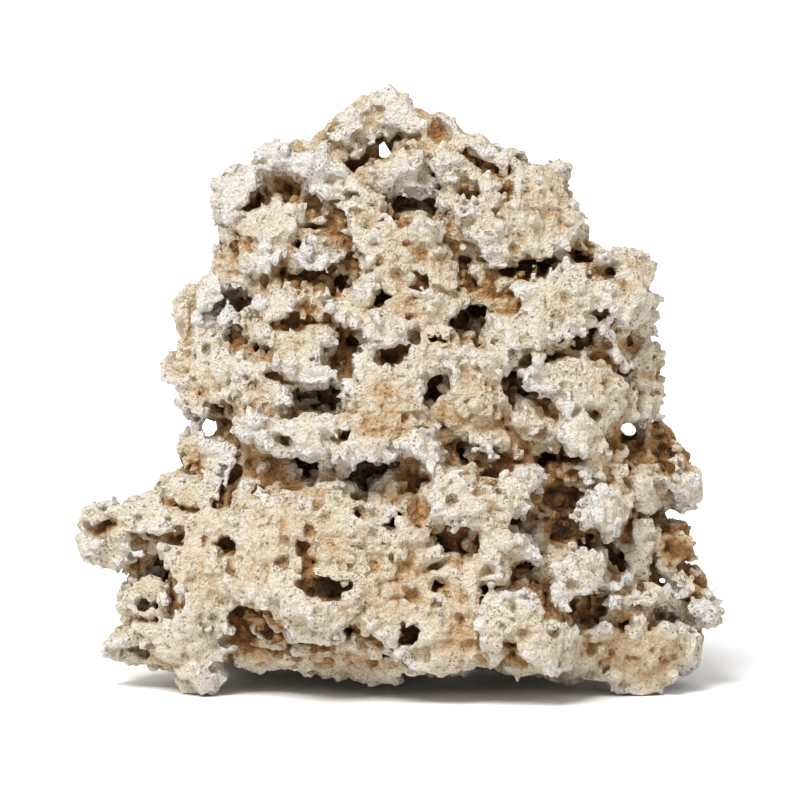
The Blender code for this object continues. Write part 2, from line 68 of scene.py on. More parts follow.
# The viewer who sees the front's forms where they are listed: the angle above level, the
# distance, and where Z = 0 at Y = 0 is seen.
VIEW_RISE = math.radians(5)
VIEW_DISTANCE = 2000
VIEW_FLOOR = 3

# The forms of the front, by quarter. Each has a height, a tone and an outline. The height is how
# far a plate stands out of the general front, or how far a hollow goes in, if negative. The tone
# runs from -1 for rusty brown, over 0 for cream, to 1 for bleached. The outline is a list of
# points, two numbers for each: how far it is to the right of the quarter's upper left corner,
# and how far below that corner.
QUARTERS = {
    "upper_left": (-96, 244),
    "upper_right": (0, 244),
    "lower_left": (-132, 124),
    "lower_right": (0, 124),
}

PLATES = {"upper_left": [
    # peak
    (1, 0.7, [86,4, 92,1, 100,6, 103,11, 109,15, 108,20, 100,19, 96,17, 92,16, 88,14, 87,9]),
    (0, 0.3, [65,19, 72,13, 76,9, 84,7, 86,11, 82,14, 80,19, 76,24, 70,26, 68,23]),
    (-2, -0.1, [97,28, 106,22, 112,24, 112,40, 106,47, 100,47, 94,46, 88,46, 84,43, 81,39, 84,36,
     90,34, 94,31]),
    # left shoulder
    (2, 0.8, [38,27, 43,24, 50,24, 56,23, 60,24, 68,25, 69,29, 72,31, 71,35, 76,37, 83,41, 84,44,
     80,45, 70,46, 62,46, 58,46, 57,42, 59,40, 54,37, 48,34.5, 43,34, 39,33]),
    (1, 0.8, [21,44, 24,39, 28,34, 38,33, 40,38, 37,42, 36,48, 32,50, 34,54, 28,59, 25,56,
     23.5,51]),
    (3, 0.5, [30,59, 34,54, 38,51, 42,48, 45,45, 49,46, 50,49, 56,50, 57,56, 54,61, 50,64, 51,69,
     44,72, 42,77, 35,78, 32,74, 34,69, 38,65, 37,60]),
    (3, 0.2, [54,70, 57,65, 60,63, 64,66, 72,69, 71,73, 64,75, 58,76, 54,74]),
    (3, 0.5, [78,62, 82,58, 88,59, 93,63, 95,68, 90,70, 88,74, 83,76, 80,74, 81,69]),
    (0, 0, [70,46, 80,45, 89,47, 90,52, 93,56, 89,59, 83,58, 79,62, 74,60, 74,50]),
    # middle left
    (2, 0.6, [14,87, 17,82, 20,74, 24,77, 24,85, 26,90, 30,92, 26,98, 26,104, 30,109, 37,111,
     43,114, 40,118, 38,122, 33,122, 28,121, 26,128, 8,128, 6,120, 13,118, 13,100]),
    (-3, -0.6, [6,88, 9,83, 15,82, 16,86, 14,92, 13,99, 8,98]),
    (3, 0.2, [35,103, 38,99, 44,98, 50,100, 56,100, 62,98, 69,100, 69,105, 64,106, 56,109, 50,110,
     47,112, 43,109, 40,105, 36,106]),
    (2, 0.3, [37,90, 40,86, 46,82, 52,81, 56,85, 54,90, 50,95, 44,96, 41,93]),
    (1, 0, [55,85, 64,84, 70,85, 70,89, 64,95, 56,95]),
    (4, 0.7, [44,115, 52,110, 60,106, 65,108, 64,113, 69,119, 68,122, 60,123, 54,121, 50,118]),
    # the ridge and the bowl in the middle
    (5, 0.5, [71,88, 76,85, 82,81, 87,78, 88,83, 85,87, 82,90, 75,90]),
    (4, 0.4, [69,90, 78,90.5, 85,95, 87,99, 82,101, 75,97, 69,93.5]),
    (4, 0.5, [83,96, 88,91, 94,91, 98,97, 101,102, 106,106, 112,109, 112,113, 106,115, 107,120,
     108,128, 76,128, 70,125, 76,122, 79,113, 81,105]),
], "upper_right": [
    # right slope of the peak
    (0, 0.2, [12,13, 18,10, 26,19, 33,21, 40,26, 46,27, 52,32, 53,35, 46,35, 40,33, 36,31, 30,27,
     24,24, 18,21.5]),
    (1, 0.1, [12,26, 18,21.5, 24,25, 23,30, 30,34, 33,38, 29,40, 24,42, 19,40, 17,36, 13,32]),
    (0, -0.8, [17.5,47, 21,44, 25,47, 24,51, 20,53]),
    (1, 0.3, [41,39, 46,36, 56,34, 64,33, 67,36, 66,43, 70,50, 74,51, 75,58, 79,65, 82,69, 77,68,
     72,64, 69,60, 64,56, 56,54, 50,49, 44,45]),
    (4, 0.4, [26,50, 29,47, 34,45, 33,41, 35,39, 40,39.5, 40,44, 45,48, 50,51, 56,55, 62,56, 69,60,
     71,64, 69,67, 64,70, 60,71, 54,70, 47,72, 43,76, 41,75, 36,72, 32,68, 31,64, 27,57]),
    # between the peak and the middle
    (2, 0.1, [-8,65, -2,60, 6,59, 11,54, 16,59, 17,65, 20,69, 25,72, 24,79, 23,84, 29,88, 25,93,
     21,96, 20,100, 15,103, 8,101, 5,94, -2,93, -8,80]),
    # the slab on the right
    (6, 0.6, [43,80, 52,79.5, 60,79, 65,76, 66,70, 72,73, 77,78, 86,80, 87,88, 86,94, 78,94, 77,98,
     74,101, 67,104, 65,109, 57,108.5, 52,108.5, 48,113, 44,116.5, 41,112, 37,106, 44,103, 48,98,
     48,95, 52,90, 47,85, 44,83]),
    (4, 0.6, [36,101, 37,97.5, 40,94.5, 47,94.5, 48,98.5, 44,103, 40,106, 37.5,105.5]),
    (4, 0.2, [87,82, 96,83, 103,85, 105,90, 105,96, 104,101, 100,102, 96,99, 90,100, 86,97, 85,90]),
    (3, 0, [78,75, 83,69, 90,68, 96,69, 103,73, 104.5,77, 99,82, 90,82, 86,80, 89,76, 83,74]),
    (4, 0.5, [0,93, 4,98, 8,105, 15,106, 23,105.5, 29,105, 32,108.5, 37,110, 43,115, 43,120, 44,128,
     20,128, 21,120, 18,117, 13,117, 10,119, 6,117, -1,113, -3,100]),
    (6, 0.5, [47,119, 50,115, 56,112, 60,113, 68,111, 74,111, 79,114, 85,115, 91,118, 92,123,
     91,129, 60,129, 54,125, 49,122]),
    (2, -0.2, [80,100, 85,98, 91,100, 96,100, 98,106, 96,108, 93,114, 88,113, 85,109, 83,105]),
    (-4, -0.5, [96,104, 102,103, 106,110, 104,116, 106,123, 104,129, 96,129, 94,118]),
], "lower_left": [
    # the arm
    (1, 0.3, [3.5,60, 6,52, 14,48, 23,49, 31,46.5, 38,49, 44,52, 56,51.5, 62,53, 64,59, 56,64,
     47,64, 43,60, 38,59, 34,60, 27,57, 22,60, 24,66, 30,69, 23,72, 18,74.5, 11,71, 4,70]),
    (0, 0.2, [36,43, 43,37, 50,35, 56,42, 60,45, 57,50, 48,51, 42,48]),
    # the block on the left
    (3, 0.4, [35,65, 47,64, 56,65, 64,69, 64,76, 69,84, 68,88, 62,92, 64,98, 70,105, 60,111, 55,119,
     44,117, 39,112, 25,105, 14,106, 15,103, 22,101, 24,96, 33,95, 40,96, 43,93, 43,77, 38,70]),
    (0, -0.2, [45,116, 60,112, 60.5,119, 56,123.5, 52,123]),
    (-3, -0.4, [18,85, 21,80, 26,79, 33,80, 40,85, 41,90, 33,88, 33,95, 24,96, 20,93]),
    # the big plate
    (4, 0.5, [62,60, 66,52, 70,48, 80,44, 87,43, 96,46, 106,47, 112,50, 119,50, 127,47, 132,52,
     132,100, 130,106, 125,104, 118,96, 111,96, 109,101, 102,104, 96,103, 87,101, 80,92, 70,86,
     66,80, 64,72, 66,68, 66,64]),
    (-1, -0.2, [103,110, 106,106, 114,98, 120,101, 126,109, 124,114, 110,117]),
    (-4, -0.2, [64,108, 70,106, 86,107, 100,106, 132,110, 132,119, 120,120, 100,116, 88,114, 74,115,
     64,114]),
    # the long ledge and the forms beside it
    (8, 0.7, [65,20, 69,12.5, 76,12, 85,15, 90,15.5, 100,13, 109,15, 113,20, 120,23, 133,24, 133,30,
     120,32.5, 110,35.5, 101,32, 92,30.5, 85,29, 80,28.5, 75,23.5, 69,23.5]),
    (2, 0.7, [50,23, 56,19.5, 64,24, 67,28, 65,36, 60,44, 54,43, 51,33]),
    (2, 0.2, [82,0, 87,2, 91,7, 90,11, 86,15, 78,12, 74,8, 66,8, 56,7, 48,14, 44,4, 40,0]),
    (5, 0.4, [108,0, 133,0, 133,24, 120,23, 113,20, 110,13, 111,9]),
    (-1, 0.1, [64,44, 69,38, 74,39, 74,43, 70,47, 65,49]),
    (0, 0, [88,43, 93,41, 100,39, 109,40, 113,44, 118,50, 110,54, 96,50]),
], "lower_right": [
    # what the long ledge ends in
    (8, 0.7, [-1,21, 6,19, 16,20, 17,26, 19,31, 14,36, 9,32, 6,30, -1,30]),
    (4, 0.4, [-1,0, 9,0, 11,7, 16,10, 17,16, 16,20, 6,19, -1,20]),
    (0, -0.1, [17,6, 20,1, 29,0, 42,0, 44,6, 42,12, 42,17, 43,23, 38,24, 30,22, 26,20, 19,20]),
    (0, -0.2, [29,23, 35,20, 42,21, 43,24, 38,25, 40,30, 37,32, 34,25]),
    # the big three-cornered plate
    (6, 0.5, [10,43, 14,36, 17,37, 21,32.5, 25,35, 30,40, 36,43, 42,41, 45,37, 52,34, 59,35, 62,40,
     58,43, 53,43, 51,47, 54,49, 52,53, 45,55, 42,58, 48,58, 52,60, 56,66, 55,70, 51,70, 46,69,
     44,74, 45,78, 41,80, 37,77, 35,74, 33,70, 33,64, 34,60, 28,56, 15,56, 11,55, 12,50]),
    (3, 0.5, [-1,56, 6,57, 11,58, 15,64, 18,69, 24,70, 33,70, 37,78, 33,80, 33,90, 32,98, 34,108,
     28,113, 20,114, 10,113, 4,114, -1,109]),
    # boulder
    (7, 0.5, [48,0, 56,2, 64,8, 65,15, 66,23, 68,28, 74,30, 80,29, 84,25, 87,19, 90,13, 92,4, 91,-1,
     50,-1]),
    (2, -0.1, [42,13, 48,9, 56,11, 60,13, 64,15, 65,20, 64,24, 60,26, 54,23, 48,19, 45,18]),
    (0, -0.3, [91,3, 95,0, 102,0, 104,6, 107,14, 103,16, 106,21, 102,24, 97,23, 96,16, 91,14]),
    # knobs and plates of the right
    (3, 0, [78,29, 87,28, 91.5,30, 92,34, 88,37, 85,40, 80,40, 70,37, 69,34, 74,32]),
    (9, 0.8, [72,51, 76,46, 79,42, 85,41, 89,42, 93,47, 93.5,52, 92,58, 89,62, 86,62, 84,57, 79,57,
     75,58, 73,55]),
    (3, 0.3, [90,42, 88,38, 93,36, 100,36, 108,40, 111.5,44, 110,48, 104,51, 100,51, 94,48]),
    (0, 0.5, [109,33, 115,32, 122,36, 122,42, 118,47, 114,49, 111,45, 111,40]),
    (0, -1, [105,62, 111,60, 119,59, 120,65, 119,70, 115,72, 110,76, 106,74, 104.5,69]),
    (3, 0.4, [94,62, 96,56, 100,56, 106,60, 105,66, 103,72, 102,78, 97,83, 90,80, 88,78, 93,74,
     95,70]),
    (7, 0.6, [70,69, 76,67, 83,67, 84,74, 87,79, 88,82, 80,83, 75,85, 70,88, 67,92, 63,90, 61,87,
     64,82, 65,76, 66,72]),
    (8, 0.7, [33,90, 38,85, 42,81.5, 50,81, 56,85, 59,92, 64,94, 69,95, 73,100, 72,106, 68,110,
     65,114, 59,114, 56,111, 51,108, 47,106, 43,107, 40,111, 36,111, 34,106, 32,98]),
    (4, 0.2, [85,88, 88,84.5, 93,85, 96,88, 93,91, 88,90.5]),
    (4, 0.2, [96,85, 100,83, 105,85, 104,90, 99,89]),
    (5, 0.3, [93,96, 95,90.5, 100,90.5, 101.5,95, 100,101, 95,104, 92,102]),
    (2, 0.7, [119,89, 124,85.5, 130,88, 130,94, 126,98, 121,96, 118.5,93]),
    (1, 0, [106,80, 110,76, 115,76, 120,80, 119,85, 112,86, 108,84]),
    (1, 0, [68,96, 77,97, 85,96, 90,100, 92,104, 100,103, 104,99, 110,97, 118,98, 123,100, 124,108,
     122,115, 114,118, 109,120, 108,124, 100,125, 87,124, 85,120, 76,118, 69,115, 72,106]),
]}

HOLLOWS = {"upper_left": [
    (-3, -0.7, [80,15, 85,9.5, 91,9.5, 90,15, 87,20.5, 82,21]),
    (-6, -0.9, [64.5,21.5, 69,17, 71.5,16.5, 70,20, 66,22.5]),
    (-5, -0.8, [51,26.5, 56,25.5, 59,27.5, 56,29, 52,28.5]),
    (-22, -0.4, [83,26, 90,21, 95,21.5, 97.5,24.5, 94.5,30, 90,31.5, 86,34, 82,32, 79,38, 75,37,
     74,34, 79,32, 84,30]),
    (-12, -0.6, [37,47, 39,42, 45,40, 54,39, 57,41, 56,47, 52,49, 47,44, 43,47, 40,51, 37,50]),
    (-7, -0.7, [33.5,65, 38,65.5, 38.5,69, 34.5,71, 32.5,68]),
    (-8, -0.3, [58,48, 70,47, 74,51, 74,59, 70,60, 73,65, 79,69, 78,72, 72,70, 65,64, 60,62,
     56.5,58]),
    (-13, -0.8, [44.5,79, 48,75, 52,75.5, 54,78.5, 62,77, 68,75.5, 74,72, 80,73, 82,76, 79,80,
     76,84, 71,86, 69,83, 62,82, 57,83, 54,81, 50,80]),
    (-20, 0, [44.5,79, 46,75.5, 50,75, 51.5,78.5, 48,80.5]),
    (-20, 0, [70,85.5, 70,82, 74,79, 77,80, 75,84]),
    (-20, 0, [80,91, 85,88, 88,84, 93,85, 94,88, 90,91, 87,94, 82,93]),
    (-22, 0, [91.5,51, 98,47, 104,45.5, 112,47.5, 112,58, 108,54, 104,54, 98,55, 94,56]),
    (-6, -0.8, [10,95, 13.5,96, 13,110, 10,108]),
    (-18, -0.3, [24.5,86.5, 28,83, 33,82, 36,84, 35,88, 31,91, 27,90.5]),
    (-16, -0.2, [34.5,108, 38,106, 42,107, 44,111, 47,114, 44,114.5, 42,111, 37,110]),
    (-7, -0.6, [26,101, 29,103, 33,104, 35,109, 30,109, 26.5,105]),
    (-14, -0.5, [70,100, 74,100, 78,104, 79,108, 76,113, 78,118, 74,120, 70,115, 68,111, 73,107,
     70,104]),
    (-7, -0.8, [86,109.5, 92,108, 99,108, 99,112, 95,115, 89,115]),
    (-10, -0.5, [43,96, 48,95.5, 44,98, 41,99]),
    (-3, -0.5, [53,89, 58,88, 62,91, 60,98, 54,99]),
], "upper_right": [
    (-7, -0.9, [13,15, 17,16, 19,20, 16,22, 14,19]),
    (-14, -0.5, [10.5,36, 14,33, 17,38, 19,43, 16,45, 13,41]),
    (-24, 0, [-1,46, 6,45, 12,48.5, 16,49, 17,53, 19,56, 18.5,60.5, 15,58, 12,54, 6,54.5, -1,56]),
    (-10, -0.4, [26,46, 31,44, 33,45, 29,47.5]),
    (-4, -0.4, [39,56, 44,54, 46,57, 43,59]),
    (-3, -0.6, [18,64, 23,59, 30,62, 33,68, 29,70, 24,72, 20,69]),
    (-11, -0.8, [42,76, 46,74, 54,73.5, 62,71, 65.5,72, 64,75, 60,78.5, 54,78.5, 48,78, 43,79]),
    (-5, -0.9, [76,74, 82,73, 88,74.5, 85,77, 79,76.5]),
    (-5, -0.8, [70,67, 73,65, 77,69, 76,73, 72,71]),
    (-7, -0.6, [78,92, 83,88, 86,91, 85,96.5, 78,95.5]),
    (-5, -0.5, [62,94, 66,93, 70,95, 67,97, 64,96.5]),
    (-24, -0.2, [22,96, 27,92, 31,90, 36,93, 37,98, 35,105, 34,108.5, 30,107, 26,103, 22,101]),
    (-14, -0.4, [24,78, 26,74, 30,75, 32,80, 31,87, 29,87, 26,83]),
    (-20, 0, [29,74, 30,71, 33,70.5, 34.5,74, 32,75]),
    (-4, -0.7, [31,83, 36,79, 42,80, 44,85, 50,90, 48,93, 40,94, 35,90]),
    (-12, -0.8, [8,102.5, 14,101.5, 21,102, 22,104.5, 15,106, 9,104.5]),
    (-20, 0, [11,119, 15,117, 21.5,118, 20,123, 17,129, 10.5,129]),
    (-22, 0, [43,119, 46,117, 48,120, 50,124, 55,127, 50,129, 44,125]),
    (-11, -0.5, [59,110, 64,109, 68,104, 72,105, 74,109, 68,111, 62,112.5]),
    (-7, -0.6, [75,101, 80,98, 83,101, 83,106, 86,113, 81,114, 79,110, 77,106]),
    (-9, -0.7, [91,99, 96,98, 96,100, 99,102, 96,105, 97,110, 93,109, 91.5,103]),
    (-5, -0.8, [42,43, 45,40, 47,43, 45,46]),
    (-4, -0.5, [6,77, 12,76, 14,80, 9,83]),
], "lower_left": [
    (-7, -0.5, [66,88, 80,90, 92,104, 110,108, 132,110, 140,116, 104,120.8, 72,115.2, 63.2,104]),
    (-7, -0.8, [4,57.5, 10,58.5, 14,54, 17,56, 11,61.5, 6,60.5]),
    (-8, -0.5, [28.5,60, 33,60.5, 35,64, 31.5,64.5, 28.5,63]),
    (-6, -0.8, [37,60, 43,60, 45,62.5, 42,64, 38,63]),
    (-16, -0.5, [24,69, 30,69, 36,70, 43,76, 44,85, 42,94, 37,95, 35,90, 39,85, 33,79, 27,77]),
    (-12, -0.5, [25,90, 28,88, 32,89, 32,93, 28,94, 25,93]),
    (-9, -0.6, [18,111, 24,106, 38,112, 44,118, 44,120, 34,116, 24,114]),
    (-4.5, -0.9, [90,78.5, 96,76.5, 106,77, 113,79, 112,82.5, 104,85, 96,85, 92,82]),
    (-8, -0.6, [83,54, 87,53, 87,60, 84,61]),
    (-8, -0.8, [59,66, 62,64.5, 65.5,65.5, 65.5,69, 61,69]),
    (-10, -0.6, [67,88, 72,87, 79,90, 86,100, 90,103, 86,106, 76,106, 70,105, 64,98, 63,92]),
    (-6, -0.9, [105.5,22, 109,20, 113,18.5, 112,22.5, 109,24.5]),
    (-5, -0.8, [82,21.5, 88,21.5, 88,26, 84,26.5]),
    (-30, 0, [89,31, 96,31, 101,33, 109,35.5, 116,33, 120,33, 125,36, 133,31, 133,37, 126,40,
     124,43, 120,49, 114,44, 109,39, 100,38, 93,41, 89,39]),
    (-26, -0.1, [90,4.5, 95,3, 105,2, 108,6, 111,9, 107,12.5, 104,13, 98,12.8, 90.5,12.8]),
    (-14, -0.6, [64,21, 68,24, 69,30, 66,40, 62,45, 60,44, 65,36, 66.5,28]),
    (-14, -0.5, [54,47, 59,45.5, 61,48, 57,51, 54.5,50]),
    (-9, -0.8, [57,8, 64,6, 68,10, 65,15, 61,19.5, 58,19, 56,13]),
    (-9, -0.5, [69,24.5, 76,25, 85,29, 88,33, 87,40, 78,36, 72,38, 69,34]),
    (-9, -0.8, [62,44, 66,42, 70,47, 68,50.5, 65,49]),
    (-5, -0.5, [112,51, 118,48, 119,52, 115,55]),
    (-16, -0.2, [125,56, 129,53, 133,54, 133,59, 128,59]),
    (-6, -0.7, [111,98, 116,96, 121,98, 123,104, 117,101]),
    (-2, -0.6, [88,60, 96,62, 98,70, 95,76, 90,76, 92,69]),
], "lower_right": [
    (-13, -0.7, [-1,31.5, 6,30.5, 9,33, 13,37, 11,43, 6,45, -1,41]),
    (-24, 0, [23.5,24, 26.5,22.5, 29,25, 28,30, 29,35, 26,36.5, 23,33]),
    (-7, -0.8, [29,35, 33,32, 38,33, 43,32, 50,29, 50,33, 44,36, 40,40, 35,40, 31,38]),
    (-18, -0.2, [43,16, 45,14, 47,19, 48,22, 44,24.5, 42.5,21.5]),
    (-22, 0, [10.5,-1, 15,-1, 19,1, 16,6, 13,9, 10.5,6]),
    (-20, 0, [43,-1, 48,0, 56,4, 64,7.8, 60,8.8, 54,6.5, 50,8.5, 44,6]),
    (-7, -0.4, [15,57, 27,56.2, 34,60, 33,65, 30,70, 23,69, 19,68, 15.5,62]),
    (-20, -0.2, [46,57, 52,54.5, 55,58, 56,62, 52,59]),
    (-20, -0.2, [55.5,70, 60,69, 62,74, 59,78, 57,80, 54,76]),
    (-13, -0.6, [53,44, 60,43, 64,42, 72,40, 77,41, 74,46, 72,52, 74,58, 79,58, 84,60, 83,65.5,
     78,66, 70,67, 65,70, 60,68, 57,64, 56,59, 54,54, 53,48]),
    (-14, -0.7, [62,24, 68,29, 73,31, 70,34, 66,33, 61,30]),
    (-10, -0.8, [87,20, 90,19, 95,22, 97,24, 98,30, 93,30, 88,26]),
    (-8, -1, [102,27, 108,26, 113,30, 111,34, 105,33]),
    (-22, -0.2, [84,69, 87,65, 90,68, 93,72, 90,76.5, 86,77, 84,74]),
    (-10, -0.6, [87.5,63, 93,60, 96,54, 99,53, 95,51, 92.5,56, 89.5,60]),
    (-5, -0.8, [42,102, 45,100, 50,101, 48,106, 44,107]),
    (-6, -0.7, [-1,95, 5,94, 9,98, 8,103, 2,104, -1,104]),
    (-10, -0.8, [12,79, 17,76.5, 21,80, 19,82, 14,82]),
    (-17, -0.1, [34,80.5, 37,78.5, 42,81, 38,84, 34.5,84.5]),
    (-10, -0.6, [67.5,90, 72,87, 79,85, 85,85, 85,90, 83,95, 76,97, 70,95]),
    (-8, -0.9, [102,94, 106,90, 112,88, 118,90, 119,95, 113,96, 108,95, 104,98]),
    (-9, -0.8, [87,91, 93,91.5, 92,96, 88,95]),
    (-5, -0.9, [59,82, 62,87, 64,92, 60,90, 57,84]),
    (-8, -0.8, [107,50, 111,46, 113,49, 109,56, 106,56]),
    (-8, -0.8, [76,11, 80,10, 82,13, 78,16]),
]}

FORM_MARGIN = 2  # around the outline of a form and the rounding of its edge
FORM_AHEAD = 14  # how far ahead of the front a form's cells start
FORM_DEPTH = 34  # from there to the end of its cells, besides its own thickness
GRAINS = ((6, 1.1), (2.6, 0.7))  # size and reach of what frays a form's edge
PLATE_THICKNESS = 22
PLATE_ROUNDING = 3.5  # of the edges of plates and valleys
PLATE_REACH = 5  # how far a plate may stand out of the solid
HOLLOW_ROUNDING = 2.5
HOLLOW_GRAIN = 1.8  # how much more the edge of a hollow frays
HOLLOW_RISE = math.tan(math.radians(9))  # hollows climb as they go in
FLOOR_WAVES = ((7, 0.3),)  # size, and share of a hollow's depth
VALLEY_DEPTH = 5.5
VALLEY_START = 1  # how far outside the plates the valleys begin
VALLEY_WAVES = ((13, 4), (5, 2))  # size, and height
JOIN = 1.2  # the rounding where two shapes meet

# Narrow tunnels that the viewer sees right through: x, z, radius.
TUNNELS = ((-5.5, 217, 3.2), (-77, 105.5, 2.6), (93.5, 105, 4), (107.5, 44, 2.2))
TUNNEL_MARGIN = 8
TUNNEL_REACH = 95  # either way from the rock's middle
TUNNEL_GRAIN = 0.5
TUNNEL_CORE = 0.65  # the share of the radius that stays clear of crumbs

# The map of the general front.
MAP_STEP = 2
MAP_LOW = np.array((-140.0, -4.0))
MAP_HIGH = np.array((140.0, 252.0))
MAP_DEPTHS = (-95, 60)  # the first and the last Y that is looked at
MAP_REACH = 3  # cells around each place, of which the nearest counts
MAP_BLUR = 4
MAP_SHARE = 0.01  # a place with a smaller share of rock around it is empty
MAP_SET_BACK = 4.5
FINE_STEP = 0.8  # of the maps of outlines and tones
FRONT_END = 32  # the front's forms and tones fade out behind this Y

# Relief: size, height off the plates, height on the plates.
RELIEF_WAVES = ((12, 1.8, 1.4), (5, 1.6, 1.1))
RELIEF_CRUMBS = ((6.5, 2.4, 1.2), (3.4, 2.0, 1.3), (2.1, 1.2, 0.8))
CALM_EDGE = (-2.5, 0.5)  # from the plates' relief to the rougher one, across their outlines
CRUMB_LEVEL = 0.45
CRUMB_STEEPNESS = 1.5
REAR_WAVES = ((17, 3), (9, 2))  # size, and height
RELIEF_REACH = 5  # either way from the surface
PEAK_HEIGHTS = (205, 226)  # the relief flattens between these, towards the blunt peak
PEAK_CALM = 0.55
BASE_HEIGHTS = (12, 34)  # and below these, towards the worn underside
BASE_CALM = 0.5

# Pits and knobs: how many, then the smallest radius, the spread and the bias to small ones.
PITS = 4200
PIT_SIZES = (1.2, 2.0, 3.0)
NUBS = 700
NUB_SIZES = (0.9, 1.8, 2.4)
SKIN = 0.6  # voxels from the surface to the cells that they are placed in

FRONT_REACH = 8  # the finer mesh of the front ends at this Y
FRONT_WEIGHT = 0.9  # against 1 on the back
FRONT_FACTOR = 0.5  # how much the weights count

# How far around a point the rock counts as near it, and as farther from it.
NEAR_REACH = 2
FAR_REACH = 6.5

VALLEY_TONE = -0.5
TONE_EDGE = (-1.8, 1.2)  # from a form's tone to the tone around it, across its outline

# Rusty stains as the viewer sees them, and patches of painted shade low on the rock: x, z, radius,
# strength.
STAINS_AND_BOTTOM_SHADE = (
    (-28, 226, 5, 1.4), (-40, 191, 6, 1.2), (-20, 182, 12, 0.7), (-32, 156, 10, 0.8),
    (-80, 116, 9, 1.2), (-84, 94, 9, 1.2), (-116, 68, 6, 1.0), (-100, 46, 14, 1.2),
    (-28, 44, 8, 1.0), (48, 171, 12, 0.9), (76, 174, 8, 1.0), (32, 156, 12, 1.0),
    (107, 98, 16, 1.1), (64, 88, 14, 1.0), (68, 68, 12, 1.2), (113, 60, 12, 1.1),
    # The last three, low on the rock, are painted shade.
    (120, 46, 8, 0.9), (40, 14, 16, 0.5), (100, 16, 20, 0.25), (-60, 22, 20, 0.5),
)
PATCH_CORE = 0.4  # the share of a patch's radius that has its full strength

# A point's place in STONE_AND_SHADE_COLORS: a start, and shares of how much rock there is far and
# near, which gives the ochre of the hollows and painted shade in the deepest, of its tone, and of
# mottles.
HOLLOW_START = -0.135
FAR_SHADE_SHARE = 0.76
NEAR_SHADE_SHARE = 0.28
TONE_SHARE = -0.125
MOTTLES = ((26, 0.28), (6, 0.26), (1.8, 0.22))  # size, and share
# Cream to ochre and brown as more rock is around; the darkest stops, down to near black, are
# painted shade deep in the hollows.
STONE_AND_SHADE_COLORS = (
    (0.20, (0.89, 0.85, 0.80)),
    (0.33, (0.87, 0.785, 0.655)),
    (0.47, (0.80, 0.69, 0.515)),
    (0.57, (0.70, 0.54, 0.35)),
    (0.66, (0.56, 0.325, 0.135)),
    (0.77, (0.31, 0.145, 0.05)),
    (0.90, (0.08, 0.04, 0.018)),
)

# Pores: size, size of their patches, the noise at which these begin and are full, and radius as
# a share of the size. The pores are small pits, and their dark colour is painted shade.
PORES = ((1.6, 7, (0.42, 0.64), 0.30), (3.6, 11, (0.46, 0.68), 0.20))
PORE_EDGE = (-0.03, 0.05)
PORE_LEAST = 0.06  # pores of a smaller radius fade out
PORE_BEND = 0.0016  # how far the pores are bent out of round, in metres
PORE_BEND_SCALE = 800
# How much painted shade the pores get, and its colour.
PORE_SHADE = 0.66
PORE_SHADE_COLOR = (0.20, 0.135, 0.08, 1)
PORE_HEIGHT = 0.5
SPECKS = 0.9
SPECK_SHARE = 0.22
DARK_SPECKS = (0.70, 0.95)  # from no speck to a full one
PALE_SPECKS = (0.72, 0.95)
SPECKLED = (0.52, 0.68)  # the pale specks fade out between these, towards the hollows
DARK_SPECK_COLOR = (0.34, 0.23, 0.13, 1)
PALE_SPECK_COLOR = (0.90, 0.86, 0.80, 1)
BUMPS = ((4.0, 5.0, 1.2), (1.4, 3.0, 1.1))  # size, detail, and height
BUMP_ROUGHNESS = 0.68
BUMP_GRAINS = ((2.4, -0.45), (1.15, -0.42))  # size, and height
BUMP_DISTANCE = 2.5
STONE_ROUGHNESS = 0.93
STONE_SPECULAR = 0.2

# The studio, in metres.
FLOOR_COLOR = (0.92, 0.92, 0.92, 1)
FLOOR_ROUGHNESS = 0.8
FLOOR_SPECULAR = 0.2
FLOOR_NEAR = -5
FLOOR_BACK = 2.6
FLOOR_HALF = 5
FLOOR_BEND = 0.8
BEND_STEPS = 12
WALL_TOP = 4
SURROUND = 0.56
SUNS = (("key", (-0.45, -0.8, 1.3), 3.6, 28),)  # name, place, strength, spread in degrees

# The camera: the width of the view where the rock stands, and the height of its middle.
SENSOR = 36
VIEW_WIDTH = 320
VIEW_HEIGHT = 113.4
CLIP_END = 20  # in metres


def smooth_max(one, other, soft):
    """The larger of two, rounded where they meet."""
    mix = np.clip(0.5 - 0.5 * (one - other) / soft, 0, 1)
    return one * (1 - mix) + other * mix + soft * mix * (1 - mix)


def smooth_min(one, other, soft):
    """The smaller of two, rounded where they meet."""
    return -smooth_max(-one, -other, soft)


def eased(values, low, high):
    """0 below low, 1 above high, and a smooth step between."""
    share = np.clip((values - low) / (high - low), 0, 1)
    return share * share * (3 - 2 * share)


def sample(values, at):
    """Linear samples of an array at fractional indices, one column of them for each axis."""
    at = np.clip(at, 0, np.array(values.shape, np.float32) - LAST_CELL)
    base = at.astype(np.int32)
    part = at - base
    total = 0
    for corner in np.ndindex(*[2] * values.ndim):
        weight = 1
        for axis, step in enumerate(corner):
            weight = weight * (part[..., axis] if step else 1 - part[..., axis])
        total = total + weight * values[tuple((base + corner)[..., n] for n in range(values.ndim))]
    return total


def blur(values, cells, passes=1):
    """Box blur along each axis."""
    width = 2 * cells + 1
    for _ in range(passes):
        for axis in range(values.ndim):
            pad = [(0, 0)] * values.ndim
            pad[axis] = (cells + 1, cells)
            sums = np.cumsum(np.pad(values, pad, mode="edge"), axis=axis, dtype=np.float64)
            upper = np.take(sums, range(width, sums.shape[axis]), axis=axis)
            lower = np.take(sums, range(sums.shape[axis] - width), axis=axis)
            values = ((upper - lower) / width).astype(np.float32)
    return values


def noise_at(places, size, rng):
    """Smooth noise from -1 to 1 at places, with features of a size."""
    low = places.reshape(-1, places.shape[-1]).min(0)
    at = ((places - low) / size).astype(np.float32)
    cells = np.ceil(at.reshape(-1, at.shape[-1]).max(0)).astype(int) + 2
    lattice = rng.uniform(-1, 1, cells).astype(np.float32)
    base = np.floor(at)
    part = at - base
    return sample(lattice, base + part * part * (3 - 2 * part))


